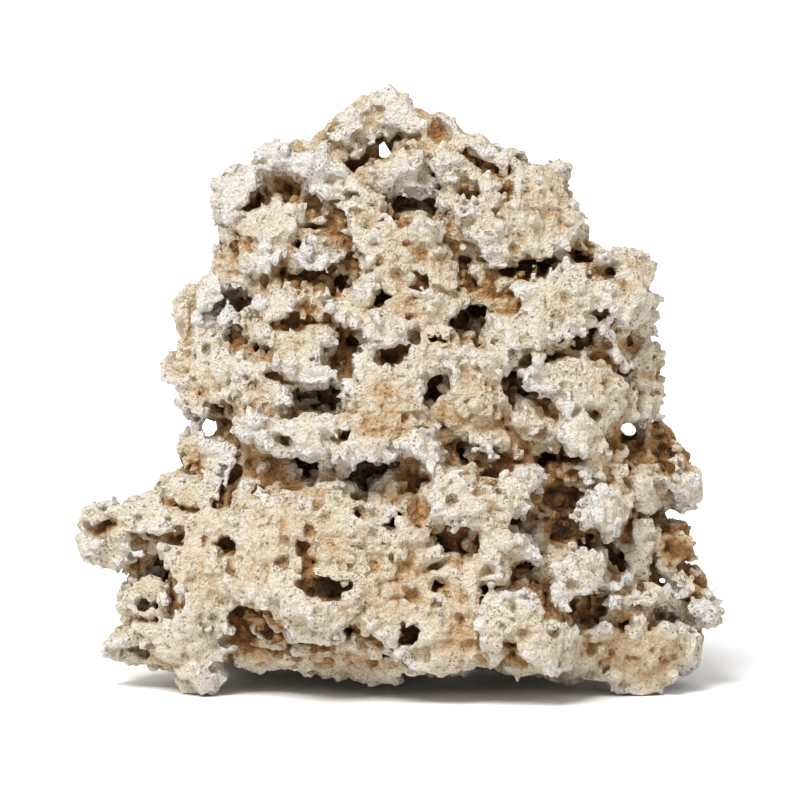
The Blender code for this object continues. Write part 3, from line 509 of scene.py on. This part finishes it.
def seen_at(x, z, y):
    """The place at a depth that the viewer sees at x and z."""
    nearer = 1 + y / VIEW_DISTANCE
    height = (z - VIEW_FLOOR - y * math.sin(VIEW_RISE)) / math.cos(VIEW_RISE)
    return np.stack(np.broadcast_arrays(x * nearer, y, height), axis=-1)


def view_of(x, y, z):
    """Where the viewer sees places, as x and z."""
    across = x / (1 + y / VIEW_DISTANCE)
    up = z * math.cos(VIEW_RISE) + y * math.sin(VIEW_RISE) + VIEW_FLOOR
    return np.broadcast_arrays(across, up)


class Field:
    """Signed distances to the rock's surface on a grid, negative inside."""

    def __init__(self, points, faces, low=None, shape=None):
        transform = openvdb.createLinearTransform(voxelSize=VOXEL)
        grid = openvdb.FloatGrid.createLevelSetFromPolygons(
            points.astype(np.float32),
            **{"triangles" if faces.shape[1] == 3 else "quads": faces.astype(np.uint32)},
            transform=transform,
            halfWidth=BAND / VOXEL,
        )
        if low is None:
            low = np.floor((points.min(0) - MARGIN) / VOXEL).astype(int)
            shape = np.ceil((points.max(0) + MARGIN) / VOXEL).astype(int) - low
        self.low = low
        self.values = np.empty(shape, np.float32)
        grid.copyToArray(self.values, ijk=tuple(int(i) for i in low))

    def place(self, index):
        """The places of grid indices."""
        return ((np.asarray(index) + self.low) * VOXEL).astype(np.float32)

    def box(self, low, high):
        """The cells between two corners: their slices, and the places of them by axis."""
        first = np.maximum(0, np.floor(np.array(low) / VOXEL).astype(int) - self.low)
        last = np.ceil(np.array(high) / VOXEL).astype(int) - self.low + 1
        last = np.maximum(first + 1, np.minimum(self.values.shape, last))
        where = tuple(slice(a, b) for a, b in zip(first, last))
        axes = [(np.arange(a, b) + start) * VOXEL for a, b, start in zip(first, last, self.low)]
        return where, np.meshgrid(*axes, indexing="ij", sparse=True)

    def sample(self, places):
        """The distances at places."""
        return sample(self.values, places / VOXEL - self.low)

    def skin(self):
        """The surface, as points and four-sided faces."""
        grid = openvdb.FloatGrid(BAND)
        grid.copyFromArray(np.clip(self.values, -BAND, BAND), tolerance=FLATNESS)
        grid.transform = openvdb.createLinearTransform(voxelSize=VOXEL)
        points, faces = grid.convertToQuads(isovalue=0)
        return points + self.low * VOXEL, faces


class Sheet:
    """Values laid out over the view, read at any place in it."""

    def __init__(self, low, high, step):
        self.low, self.step = np.array(low, float), step
        shape = np.ceil((np.array(high) - low) / step).astype(int) + 1
        self.values = np.zeros(shape, np.float32)

    def axes(self):
        """The x and z of every cell."""
        x, z = (np.arange(n) * self.step + start for n, start in zip(self.values.shape, self.low))
        return np.meshgrid(x, z, indexing="ij")

    def at(self, x, z):
        """The values at x and z."""
        return sample(self.values, (np.stack((x, z), axis=-1) - self.low) / self.step)


def general_front(cad):
    """A sheet of how far back the front lies, level with the lumps around each place."""
    sheet = Sheet(MAP_LOW, MAP_HIGH, MAP_STEP)
    x, z = sheet.axes()
    depth = np.full(x.shape, np.inf)
    for y in np.arange(*MAP_DEPTHS):
        hit = np.isinf(depth) & (cad.sample(seen_at(x, z, y)) < 0)
        depth[hit] = y
    nearest = depth.copy()
    for right in range(-MAP_REACH, MAP_REACH + 1):
        for up in range(-MAP_REACH, MAP_REACH + 1):
            moved = np.roll(depth, (right, up), (0, 1))
            nearest = np.minimum(nearest, moved)
    known = np.isfinite(depth).astype(np.float32)
    nearest = np.where(known > 0, nearest, 0)
    share = blur(known, MAP_BLUR, 2)
    sheet.values = blur(nearest, MAP_BLUR, 2) / np.maximum(share, MAP_SHARE) + MAP_SET_BACK
    sheet.values[share < MAP_SHARE] = MAP_DEPTHS[1]
    return sheet


def outline_distance(outline, x, z):
    """How far places in the view lie outside an outline, negative inside it."""
    nearest = np.full(x.shape, np.inf)
    inside = np.zeros(x.shape, bool)
    for start, end in zip(outline, np.roll(outline, -1, axis=0)):
        edge = end - start
        share = np.clip(((x - start[0]) * edge[0] + (z - start[1]) * edge[1]) / (edge @ edge), 0, 1)
        apart_x, apart_z = x - start[0] - share * edge[0], z - start[1] - share * edge[1]
        nearest = np.minimum(nearest, apart_x**2 + apart_z**2)
        if edge[1]:
            crossed = (start[1] > z) != (end[1] > z)
            inside ^= crossed & (x < start[0] + edge[0] * (z - start[1]) / edge[1])
    return np.sqrt(nearest) * np.where(inside, -1, 1)


class Form:
    """A plate or a hollow of the front."""

    def __init__(self, quarter, height, tone, outline):
        self.height, self.tone = height, tone
        corner = np.array(QUARTERS[quarter], float)
        self.outline = corner + np.reshape(outline, (-1, 2)) * (1, -1)
        self.low = self.outline.min(0) - PLATE_ROUNDING - FORM_MARGIN
        self.high = self.outline.max(0) + PLATE_ROUNDING + FORM_MARGIN
        self.edge = Sheet(self.low, self.high, FINE_STEP)
        self.edge.values = outline_distance(self.outline, *self.edge.axes()).astype(np.float32)

    def region(self, field, front, behind):
        """The cells that the form can reach: slices, x, y and z."""
        middle = (self.low + self.high) / 2
        nearest = np.min(front.at(*np.meshgrid(*zip(self.low, self.high))))
        nearest = min(nearest, float(front.at(*middle))) - FORM_AHEAD
        farthest = nearest + behind + FORM_DEPTH
        corners = [seen_at(x, z, y) for x in (self.low[0], self.high[0])
                   for z in (self.low[1], self.high[1]) for y in (nearest, farthest)]
        return field.box(np.min(corners, axis=0), np.max(corners, axis=0))

    def window(self, sheet):
        """The cells of a sheet that the form can reach."""
        first = np.floor((self.low - sheet.low) / sheet.step).astype(int)
        last = np.ceil((self.high - sheet.low) / sheet.step).astype(int) + 1
        return tuple(slice(max(0, a), b) for a, b in zip(first, last))


def forms_of(lists):
    """Every form of the four quarters."""
    return [Form(quarter, *form) for quarter, forms in lists.items() for form in forms]


def add_plate(field, cad, front, grain, form):
    """Fuses a plate to the front."""
    where, (x, y, z) = form.region(field, front, PLATE_THICKNESS)
    seen_x, seen_z = view_of(x, y, z)
    level = front.at(seen_x, seen_z) - form.height
    shape = smooth_max(form.edge.at(seen_x, seen_z) + grain[where], level - y, PLATE_ROUNDING)
    shape = np.maximum(shape, y - level - PLATE_THICKNESS)
    shape = np.maximum(shape, cad.values[where] - PLATE_REACH)
    field.values[where] = smooth_min(field.values[where], shape, JOIN)


def cut_hollow(field, front, grain, floor, form):
    """Cuts a hollow out of the front."""
    where, (x, y, z) = form.region(field, front, -form.height)
    seen_x, seen_z = view_of(x, y, z)
    level = front.at(seen_x, seen_z)
    climbed = seen_z - np.maximum(0, y - level) * HOLLOW_RISE
    bottom = y - level + form.height * (1 + floor[where])
    edge = form.edge.at(seen_x, climbed) + HOLLOW_GRAIN * grain[where]
    shape = smooth_max(edge, bottom, HOLLOW_ROUNDING)
    field.values[where] = smooth_max(field.values[where], -shape, JOIN)


def cut_tunnel(field, seen_x, seen_z, radius, fray=None):
    """Cuts a narrow tunnel that the viewer sees right through."""
    corners = [seen_at(seen_x + side, seen_z + side, y)
               for side in (-TUNNEL_MARGIN, TUNNEL_MARGIN) for y in (-TUNNEL_REACH, TUNNEL_REACH)]
    where, (x, y, z) = field.box(np.min(corners, axis=0), np.max(corners, axis=0))
    across, up = view_of(x, y, z)
    shape = np.hypot(across - seen_x, up - seen_z) - radius
    if fray is not None:
        shape += fray[where]
    field.values[where] = smooth_max(field.values[where], -shape, JOIN)


def plate_distance(plates):
    """A sheet of how far each place in the view lies outside the nearest plate."""
    sheet = Sheet(MAP_LOW, MAP_HIGH, FINE_STEP)
    x, z = sheet.axes()
    sheet.values += BAND
    for plate in plates:
        where = plate.window(sheet)
        sheet.values[where] = np.minimum(sheet.values[where], plate.edge.at(x[where], z[where]))
    return sheet


def cut_valleys(field, front, plates, rng):
    """Lowers the front between the plates to an uneven level behind theirs."""
    end = int(FRONT_END / VOXEL) - field.low[1]
    index = np.argwhere(field.values[:, :end, :] < BAND - VOXEL)
    places = field.place(index)
    x, y, z = places.T
    seen_x, seen_z = view_of(x, y, z)
    level = front.at(seen_x, seen_z) + VALLEY_DEPTH
    for size, height in VALLEY_WAVES:
        level = level + height * noise_at(places, size, rng)
    shape = smooth_max(VALLEY_START - plates.at(seen_x, seen_z), y - level, PLATE_ROUNDING)
    shape = shape + BAND * eased(y, FRONT_END - BAND, FRONT_END)
    where = tuple(index.T)
    field.values[where] = smooth_max(field.values[where], -shape, JOIN)


def grid_noise(field, layers, rng):
    """Layers of noise over the whole grid."""
    total = np.zeros(field.values.shape, np.float32)
    for size, height in layers:
        cells = [int(length * VOXEL / size) + 3 for length in total.shape]
        layer = rng.uniform(-height, height, cells).astype(np.float32)
        for axis, length in enumerate(total.shape):
            at = np.arange(length) * VOXEL / size
            base = at.astype(int)
            part = eased(at - base, 0, 1).astype(np.float32)
            spread = [1, 1, 1]
            spread[axis] = length
            part = part.reshape(spread)
            layer = np.take(layer, base, axis) * (1 - part) + np.take(layer, base + 1, axis) * part
        total += layer
    return total


def shape_front(field, cad, rng):
    """Gives the front its plates, the valleys between them and its hollows."""
    front = general_front(cad)
    plates = forms_of(PLATES)
    grain = grid_noise(field, GRAINS, rng)
    between = plate_distance(plates)
    cut_valleys(field, front, between, rng)
    for plate in plates:
        add_plate(field, cad, front, grain, plate)
    floor = grid_noise(field, FLOOR_WAVES, rng)
    for hollow in forms_of(HOLLOWS):
        cut_hollow(field, front, grain, floor, hollow)
    for tunnel in TUNNELS:
        cut_tunnel(field, *tunnel, TUNNEL_GRAIN * grain)
    return between


def add_relief(field, between, rng):
    """Lumps and crumbles the surface, less on the plates than between them."""
    index = np.argwhere(np.abs(field.values) < RELIEF_REACH)
    places = field.place(index)
    x, y, z = places.T
    seen_x, seen_z = view_of(x, y, z)
    ahead = 1 - eased(y, 0, FRONT_END)
    calm = ahead * (1 - eased(between.at(seen_x, seen_z), *CALM_EDGE))
    total = np.zeros(len(places), np.float32)
    for size, rough, plain in RELIEF_WAVES:
        total += (rough + (plain - rough) * calm) * noise_at(places, size, rng)
    for size, height in REAR_WAVES:
        total += height * (1 - ahead) * noise_at(places, size, rng)
    for size, rough, plain in RELIEF_CRUMBS:
        crumbs = CRUMB_LEVEL - CRUMB_STEEPNESS * np.abs(noise_at(places, size, rng))
        total += (rough + (plain - rough) * calm) * crumbs
    total *= 1 - PEAK_CALM * eased(z, *PEAK_HEIGHTS)
    total *= 1 - BASE_CALM * (1 - eased(z, *BASE_HEIGHTS))
    field.values[tuple(index.T)] += total


def scatter(field, count, sizes, rng):
    """Random places on the surface, each with a size, most of them small."""
    cells = np.argwhere(np.abs(field.values) < VOXEL * SKIN)
    places = field.place(cells[rng.choice(len(cells), count, replace=False)])
    smallest, spread, bias = sizes
    return zip(places, smallest + spread * rng.random(count) ** bias)


def ball_distance(field, centre, size):
    """The cells around a ball, and about how far they lie outside it."""
    reach = size + 2 * JOIN
    where, (x, y, z) = field.box(centre - reach, centre + reach)
    apart = (x - centre[0]) ** 2 + (y - centre[1]) ** 2 + (z - centre[2]) ** 2
    return where, np.sqrt(apart).astype(np.float32) - size


def add_pits(field, rng):
    """Small round pits."""
    for centre, size in scatter(field, PITS, PIT_SIZES, rng):
        where, ball = ball_distance(field, centre, size)
        field.values[where] = smooth_max(field.values[where], -ball, JOIN / 2)


def add_nubs(field, rng):
    """Small knobs fused to the surface."""
    for centre, size in scatter(field, NUBS, NUB_SIZES, rng):
        where, ball = ball_distance(field, centre, size)
        field.values[where] = smooth_min(field.values[where], ball, JOIN / 2)


def largest_part(points, faces):
    """Keeps the largest connected skin."""
    labels = np.arange(len(points))
    starts = faces[:, :3].T.ravel()
    ends = faces[:, 1:4].T.ravel()
    while True:
        before = labels.copy()
        lowest = np.minimum(labels[starts], labels[ends])
        np.minimum.at(labels, starts, lowest)
        np.minimum.at(labels, ends, lowest)
        labels = labels[labels]
        labels = labels[labels]
        if np.array_equal(before, labels):
            break
    keep = labels == np.bincount(labels).argmax()
    index = np.cumsum(keep) - 1
    return points[keep], index[faces[keep[faces].all(axis=1)]]


def mesh_arrays(obj):
    """An object's vertices and triangles."""
    mesh = obj.data
    mesh.calc_loop_triangles()
    triangles = np.empty(len(mesh.loop_triangles) * 3, np.int32)
    mesh.loop_triangles.foreach_get("vertices", triangles)
    return vertex_places(obj), triangles.reshape(-1, 3)


def vertex_places(obj):
    """An object's vertices."""
    points = np.empty(len(obj.data.vertices) * 3, np.float32)
    obj.data.vertices.foreach_get("co", points)
    return points.reshape(-1, 3) / MM


def build_field(solid):
    """Distances to the rock's fine surface, made from its solid."""
    rng = np.random.default_rng(SEED)
    cad = Field(*mesh_arrays(solid))
    field = Field(*mesh_arrays(solid))
    field.values = blur(field.values, 1, SMOOTHING)
    between = shape_front(field, cad, rng)
    field = Field(*field.skin(), field.low, field.values.shape)
    add_pits(field, rng)
    add_relief(field, between, rng)
    add_nubs(field, rng)
    for seen_x, seen_z, radius in TUNNELS:
        cut_tunnel(field, seen_x, seen_z, TUNNEL_CORE * radius)
    heights = (np.arange(field.values.shape[2]) + field.low[2]) * VOXEL
    field.values = np.maximum(field.values, -heights[None, None, :]).astype(np.float32)
    return field


def new_object(name, data):
    """An object in the scene."""
    obj = bpy.data.objects.new(name, data)
    bpy.context.scene.collection.objects.link(obj)
    return obj


def thin_out(obj):
    """Leaves TRIANGLES triangles, more of them on the front than on the back."""
    group = obj.vertex_groups.new(name="coarser")
    front = vertex_places(obj)[:, 1] < FRONT_REACH
    group.add(np.nonzero(~front)[0].tolist(), 1, "REPLACE")
    group.add(np.nonzero(front)[0].tolist(), FRONT_WEIGHT, "REPLACE")
    thin = obj.modifiers.new("thin", "DECIMATE")
    thin.ratio = TRIANGLES / (2 * len(obj.data.polygons))
    thin.vertex_group = group.name
    thin.vertex_group_factor = FRONT_FACTOR
    evaluated = obj.evaluated_get(bpy.context.evaluated_depsgraph_get())
    mesh = bpy.data.meshes.new_from_object(evaluated)
    obj.modifiers.clear()
    obj.data = mesh
    obj.vertex_groups.clear()


def make_rock(field, box):
    """The rock's fine skin, drawn in to the solid's box."""
    points, faces = largest_part(*field.skin())
    mesh = bpy.data.meshes.new("reef_rock_surface")
    mesh.from_pydata((points * MM).tolist(), [], faces.tolist())
    mesh.validate()
    rock = new_object("reef_rock_surface", mesh)
    thin_out(rock)
    points = vertex_places(rock) * MM
    low, high = np.array(box)
    start = points.min(0)
    fitted = low + (points - start) * (high - low) / (points.max(0) - start)
    rock.data.vertices.foreach_set("co", fitted.astype(np.float32).ravel())
    rock.data.update()
    return rock


def tone_sheet():
    """A sheet of the tone of every place on the front, with the painted shade low on the rock."""
    sheet = Sheet(MAP_LOW, MAP_HIGH, FINE_STEP)
    sheet.values += VALLEY_TONE
    x, z = sheet.axes()
    for form in forms_of(PLATES) + forms_of(HOLLOWS):
        where = form.window(sheet)
        share = 1 - eased(form.edge.at(x[where], z[where]), *TONE_EDGE)
        sheet.values[where] += (form.tone - sheet.values[where]) * share
    # Rusty stains, and painted shade that darkens the bottom.
    for patch_x, patch_z, radius, strength in STAINS_AND_BOTTOM_SHADE:
        apart = np.hypot(x - patch_x, z - patch_z)
        sheet.values -= strength * (1 - eased(apart, PATCH_CORE * radius, radius))
    return sheet


def store(obj, name, values):
    """Keeps a value on each vertex for the material."""
    attribute = obj.data.attributes.new(name, "FLOAT", "POINT")
    attribute.data.foreach_set("value", values.astype(np.float32))


def shade(rock, field):
    """Stores on each vertex how much rock there is around it, near and far, which the material
    turns into the ochre of the hollows and painted shade in the deepest, and its tone, which holds
    the painted shade low on the rock.
    """
    points = vertex_places(rock)
    at = points / VOXEL - field.low
    solid = np.clip(0.5 - field.values / VOXEL, 0, 1)
    near = blur(solid, round(NEAR_REACH / VOXEL), 2)
    store(rock, "near", sample(near, at))
    store(rock, "far", sample(blur(near, round(FAR_REACH / VOXEL), 2), at))
    x, y, z = points.T
    tone = tone_sheet().at(*view_of(x, y, z))
    store(rock, "tone", tone * (1 - eased(y, 0, FRONT_END)))


class Graph:
    """Short ways to add shader nodes and join them."""

    def __init__(self, material):
        self.nodes = material.node_tree.nodes
        self.links = material.node_tree.links

    def put(self, node, name, value):
        """Joins a socket to a node's input, or sets the input's value."""
        target = node.inputs[name]
        if isinstance(value, bpy.types.NodeSocket):
            self.links.new(value, target)
        else:
            target.default_value = value

    def node(self, kind, **inputs):
        """A node with some of its inputs given."""
        node = self.nodes.new(kind)
        for name, value in inputs.items():
            self.put(node, name, value)
        return node

    def math(self, operation, *values):
        """A number worked out from others."""
        node = self.nodes.new("ShaderNodeMath")
        node.operation = operation
        for n, value in enumerate(values):
            self.put(node, n, value)
        return node.outputs[0]

    def add(self, total, value, share, middle=0.0):
        """A total with a share of a value's distance from its middle added."""
        return self.math("MULTIPLY_ADD", self.math("SUBTRACT", value, middle), share, total)

    def span(self, value, low, high, to_low=0.0, to_high=1.0):
        """A smooth step from one number to another as a value runs from low to high."""
        node = self.nodes.new("ShaderNodeMapRange")
        node.interpolation_type = "SMOOTHSTEP"
        for n, item in enumerate((value, low, high, to_low, to_high)):
            self.put(node, n, item)
        return node.outputs[0]

    def mix(self, share, one, other):
        """One color, with a share of another."""
        node = self.nodes.new("ShaderNodeMix")
        node.data_type = "RGBA"
        for n, item in ((0, share), (6, one), (7, other)):
            self.put(node, n, item)
        return node.outputs[2]

    def ramp(self, value, stops):
        """The color at a value, from stops of a position and a color."""
        node = self.node("ShaderNodeValToRGB", Fac=value)
        elements = node.color_ramp.elements
        while len(elements) < len(stops):
            elements.new(0.5)
        for element, (position, color) in zip(elements, stops):
            element.position = position
            element.color = (*color, 1)
        return node.outputs[0]

    def attribute(self, name):
        """A value stored on the vertices."""
        node = self.nodes.new("ShaderNodeAttribute")
        node.attribute_name = name
        return node.outputs["Fac"]

    def noise(self, place, size, detail=3.0, roughness=0.55):
        """Noise with features of a size in millimetres."""
        scale = 1 / (size * MM)
        node = self.node("ShaderNodeTexNoise", Vector=place, Scale=scale, Detail=detail)
        self.put(node, "Roughness", roughness)
        return node.outputs[0]

    def cells(self, place, size):
        """Distances and colors of cells of a size in millimetres."""
        return self.node("ShaderNodeTexVoronoi", Vector=place, Scale=1 / (size * MM)).outputs


def stone_hollowness_and_shade(graph, place):
    """How hollow, brown or bleached the stone is at each point, with painted shade in the deepest
    hollows: the place in STONE_AND_SHADE_COLORS.
    """
    total = graph.math("MULTIPLY_ADD", graph.attribute("far"), FAR_SHADE_SHARE, HOLLOW_START)
    total = graph.add(total, graph.attribute("near"), NEAR_SHADE_SHARE)
    total = graph.add(total, graph.attribute("tone"), TONE_SHARE)
    for size, share in MOTTLES:
        total = graph.add(total, graph.noise(place, size, 4.0, 0.65), share, middle=0.5)
    return total


def stone_pores(graph, place):
    """1 in the fine pores, which get painted shade, 0 elsewhere."""
    bent = graph.node("ShaderNodeTexNoise", Vector=place, Scale=PORE_BEND_SCALE).outputs[1]
    moved = graph.nodes.new("ShaderNodeVectorMath")
    moved.operation = "MULTIPLY_ADD"
    for n, value in enumerate((bent, (PORE_BEND,) * 3, place)):
        graph.put(moved, n, value)
    total = None
    for size, patch, reach, widest in PORES:
        amount = graph.span(graph.noise(place, patch, detail=2.0), *reach, 0.0, widest)
        apart = graph.cells(moved.outputs[0], size)["Distance"]
        pore = graph.span(graph.math("SUBTRACT", apart, amount), *PORE_EDGE, 1.0, 0.0)
        pore = graph.math("MULTIPLY", pore, graph.span(amount, 0.0, PORE_LEAST))
        total = pore if total is None else graph.math("MAXIMUM", total, pore)
    return total


def stone():
    """Coral stone: bleached or cream where it stands out, ochre to brown in hollows, porous; the
    deepest hollows and the pores get painted shade.
    """
    material = bpy.data.materials.new("reef_stone")
    material.use_nodes = True
    graph = Graph(material)
    shader = graph.nodes["Principled BSDF"]
    place = graph.node("ShaderNodeTexCoord").outputs["Object"]

    hollow = stone_hollowness_and_shade(graph, place)
    # Ochre to brown in the hollows, and painted shade that darkens the deepest of them.
    color = graph.ramp(hollow, STONE_AND_SHADE_COLORS)
    pore = stone_pores(graph, place)
    # Painted shade in the pores.
    color = graph.mix(graph.math("MULTIPLY", pore, PORE_SHADE), color, PORE_SHADE_COLOR)
    specks = graph.cells(place, SPECKS)["Color"]
    picked = graph.node("ShaderNodeSeparateColor", Color=specks).outputs
    dark = graph.span(picked[0], *DARK_SPECKS)
    color = graph.mix(graph.math("MULTIPLY", dark, SPECK_SHARE), color, DARK_SPECK_COLOR)
    pale = graph.math("MULTIPLY", graph.span(picked[1], *PALE_SPECKS),
                      graph.span(hollow, *SPECKLED, 1.0, 0.0))
    color = graph.mix(graph.math("MULTIPLY", pale, SPECK_SHARE), color, PALE_SPECK_COLOR)
    graph.put(shader, "Base Color", color)
    graph.put(shader, "Roughness", STONE_ROUGHNESS)
    graph.put(shader, "Specular IOR Level", STONE_SPECULAR)

    height = graph.math("MULTIPLY", pore, -PORE_HEIGHT)
    for size, detail, share in BUMPS:
        height = graph.add(height, graph.noise(place, size, detail, BUMP_ROUGHNESS), share)
    for size, share in BUMP_GRAINS:
        height = graph.add(height, graph.cells(place, size)["Distance"], share)
    bump = graph.node("ShaderNodeBump", Height=height, Strength=1.0, Distance=BUMP_DISTANCE * MM)
    graph.put(shader, "Normal", bump.outputs[0])
    return material


def floor_material():
    """Matt white."""
    material = bpy.data.materials.new("white_floor")
    material.use_nodes = True
    shader = material.node_tree.nodes["Principled BSDF"]
    shader.inputs["Base Color"].default_value = FLOOR_COLOR
    shader.inputs["Roughness"].default_value = FLOOR_ROUGHNESS
    shader.inputs["Specular IOR Level"].default_value = FLOOR_SPECULAR
    return material


def make_floor():
    """A pale floor that curves up into a wall behind."""
    profile = [(FLOOR_NEAR, 0), (FLOOR_BACK, 0)]
    for n in range(1, BEND_STEPS + 1):
        turn = math.pi / 2 * n / BEND_STEPS
        along = FLOOR_BACK + FLOOR_BEND * math.sin(turn)
        profile.append((along, FLOOR_BEND * (1 - math.cos(turn))))
    profile.append((FLOOR_BACK + FLOOR_BEND, WALL_TOP))
    points = [(x, y, z) for y, z in profile for x in (-FLOOR_HALF, FLOOR_HALF)]
    faces = [(2 * n, 2 * n + 1, 2 * n + 3, 2 * n + 2) for n in range(len(profile) - 1)]
    mesh = bpy.data.meshes.new("floor")
    mesh.from_pydata(points, [], faces)
    mesh.shade_smooth()
    mesh.materials.append(floor_material())
    new_object("floor", mesh)


def make_lights():
    """An even pale surround, and a wide key light from the upper left in front."""
    world = bpy.data.worlds.new("studio")
    bpy.context.scene.world = world
    world.use_nodes = True
    background = world.node_tree.nodes["Background"]
    background.inputs["Color"].default_value = (1, 1, 1, 1)
    background.inputs["Strength"].default_value = SURROUND
    for name, place, strength, spread in SUNS:
        light = bpy.data.lights.new(name, "SUN")
        light.energy = strength
        light.angle = math.radians(spread)
        turn = (-Vector(place)).to_track_quat("-Z", "Y").to_euler()
        new_object(name, light).rotation_euler = turn


def make_camera():
    """The photograph's view: level with the rock, a little above it and far away."""
    data = bpy.data.cameras.new("camera")
    data.sensor_width = SENSOR
    data.lens = SENSOR * VIEW_DISTANCE / VIEW_WIDTH
    data.clip_end = CLIP_END
    camera = new_object("camera", data)
    target = Vector((0, 0, VIEW_HEIGHT * MM))
    away = Vector((0, -math.cos(VIEW_RISE), math.sin(VIEW_RISE)))
    camera.location = target + away * VIEW_DISTANCE * MM
    camera.rotation_euler = (-away).to_track_quat("-Z", "Y").to_euler()
    bpy.context.scene.camera = camera


field = build_field(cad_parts["reef_rock"])
rock = make_rock(field, CAD_BOX)
shade(rock, field)
rock.data.materials.append(stone())
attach(rock, "root")
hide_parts("reef_rock")
make_floor()
make_lights()
make_camera()
bpy.context.scene.view_settings.view_transform = "Standard"
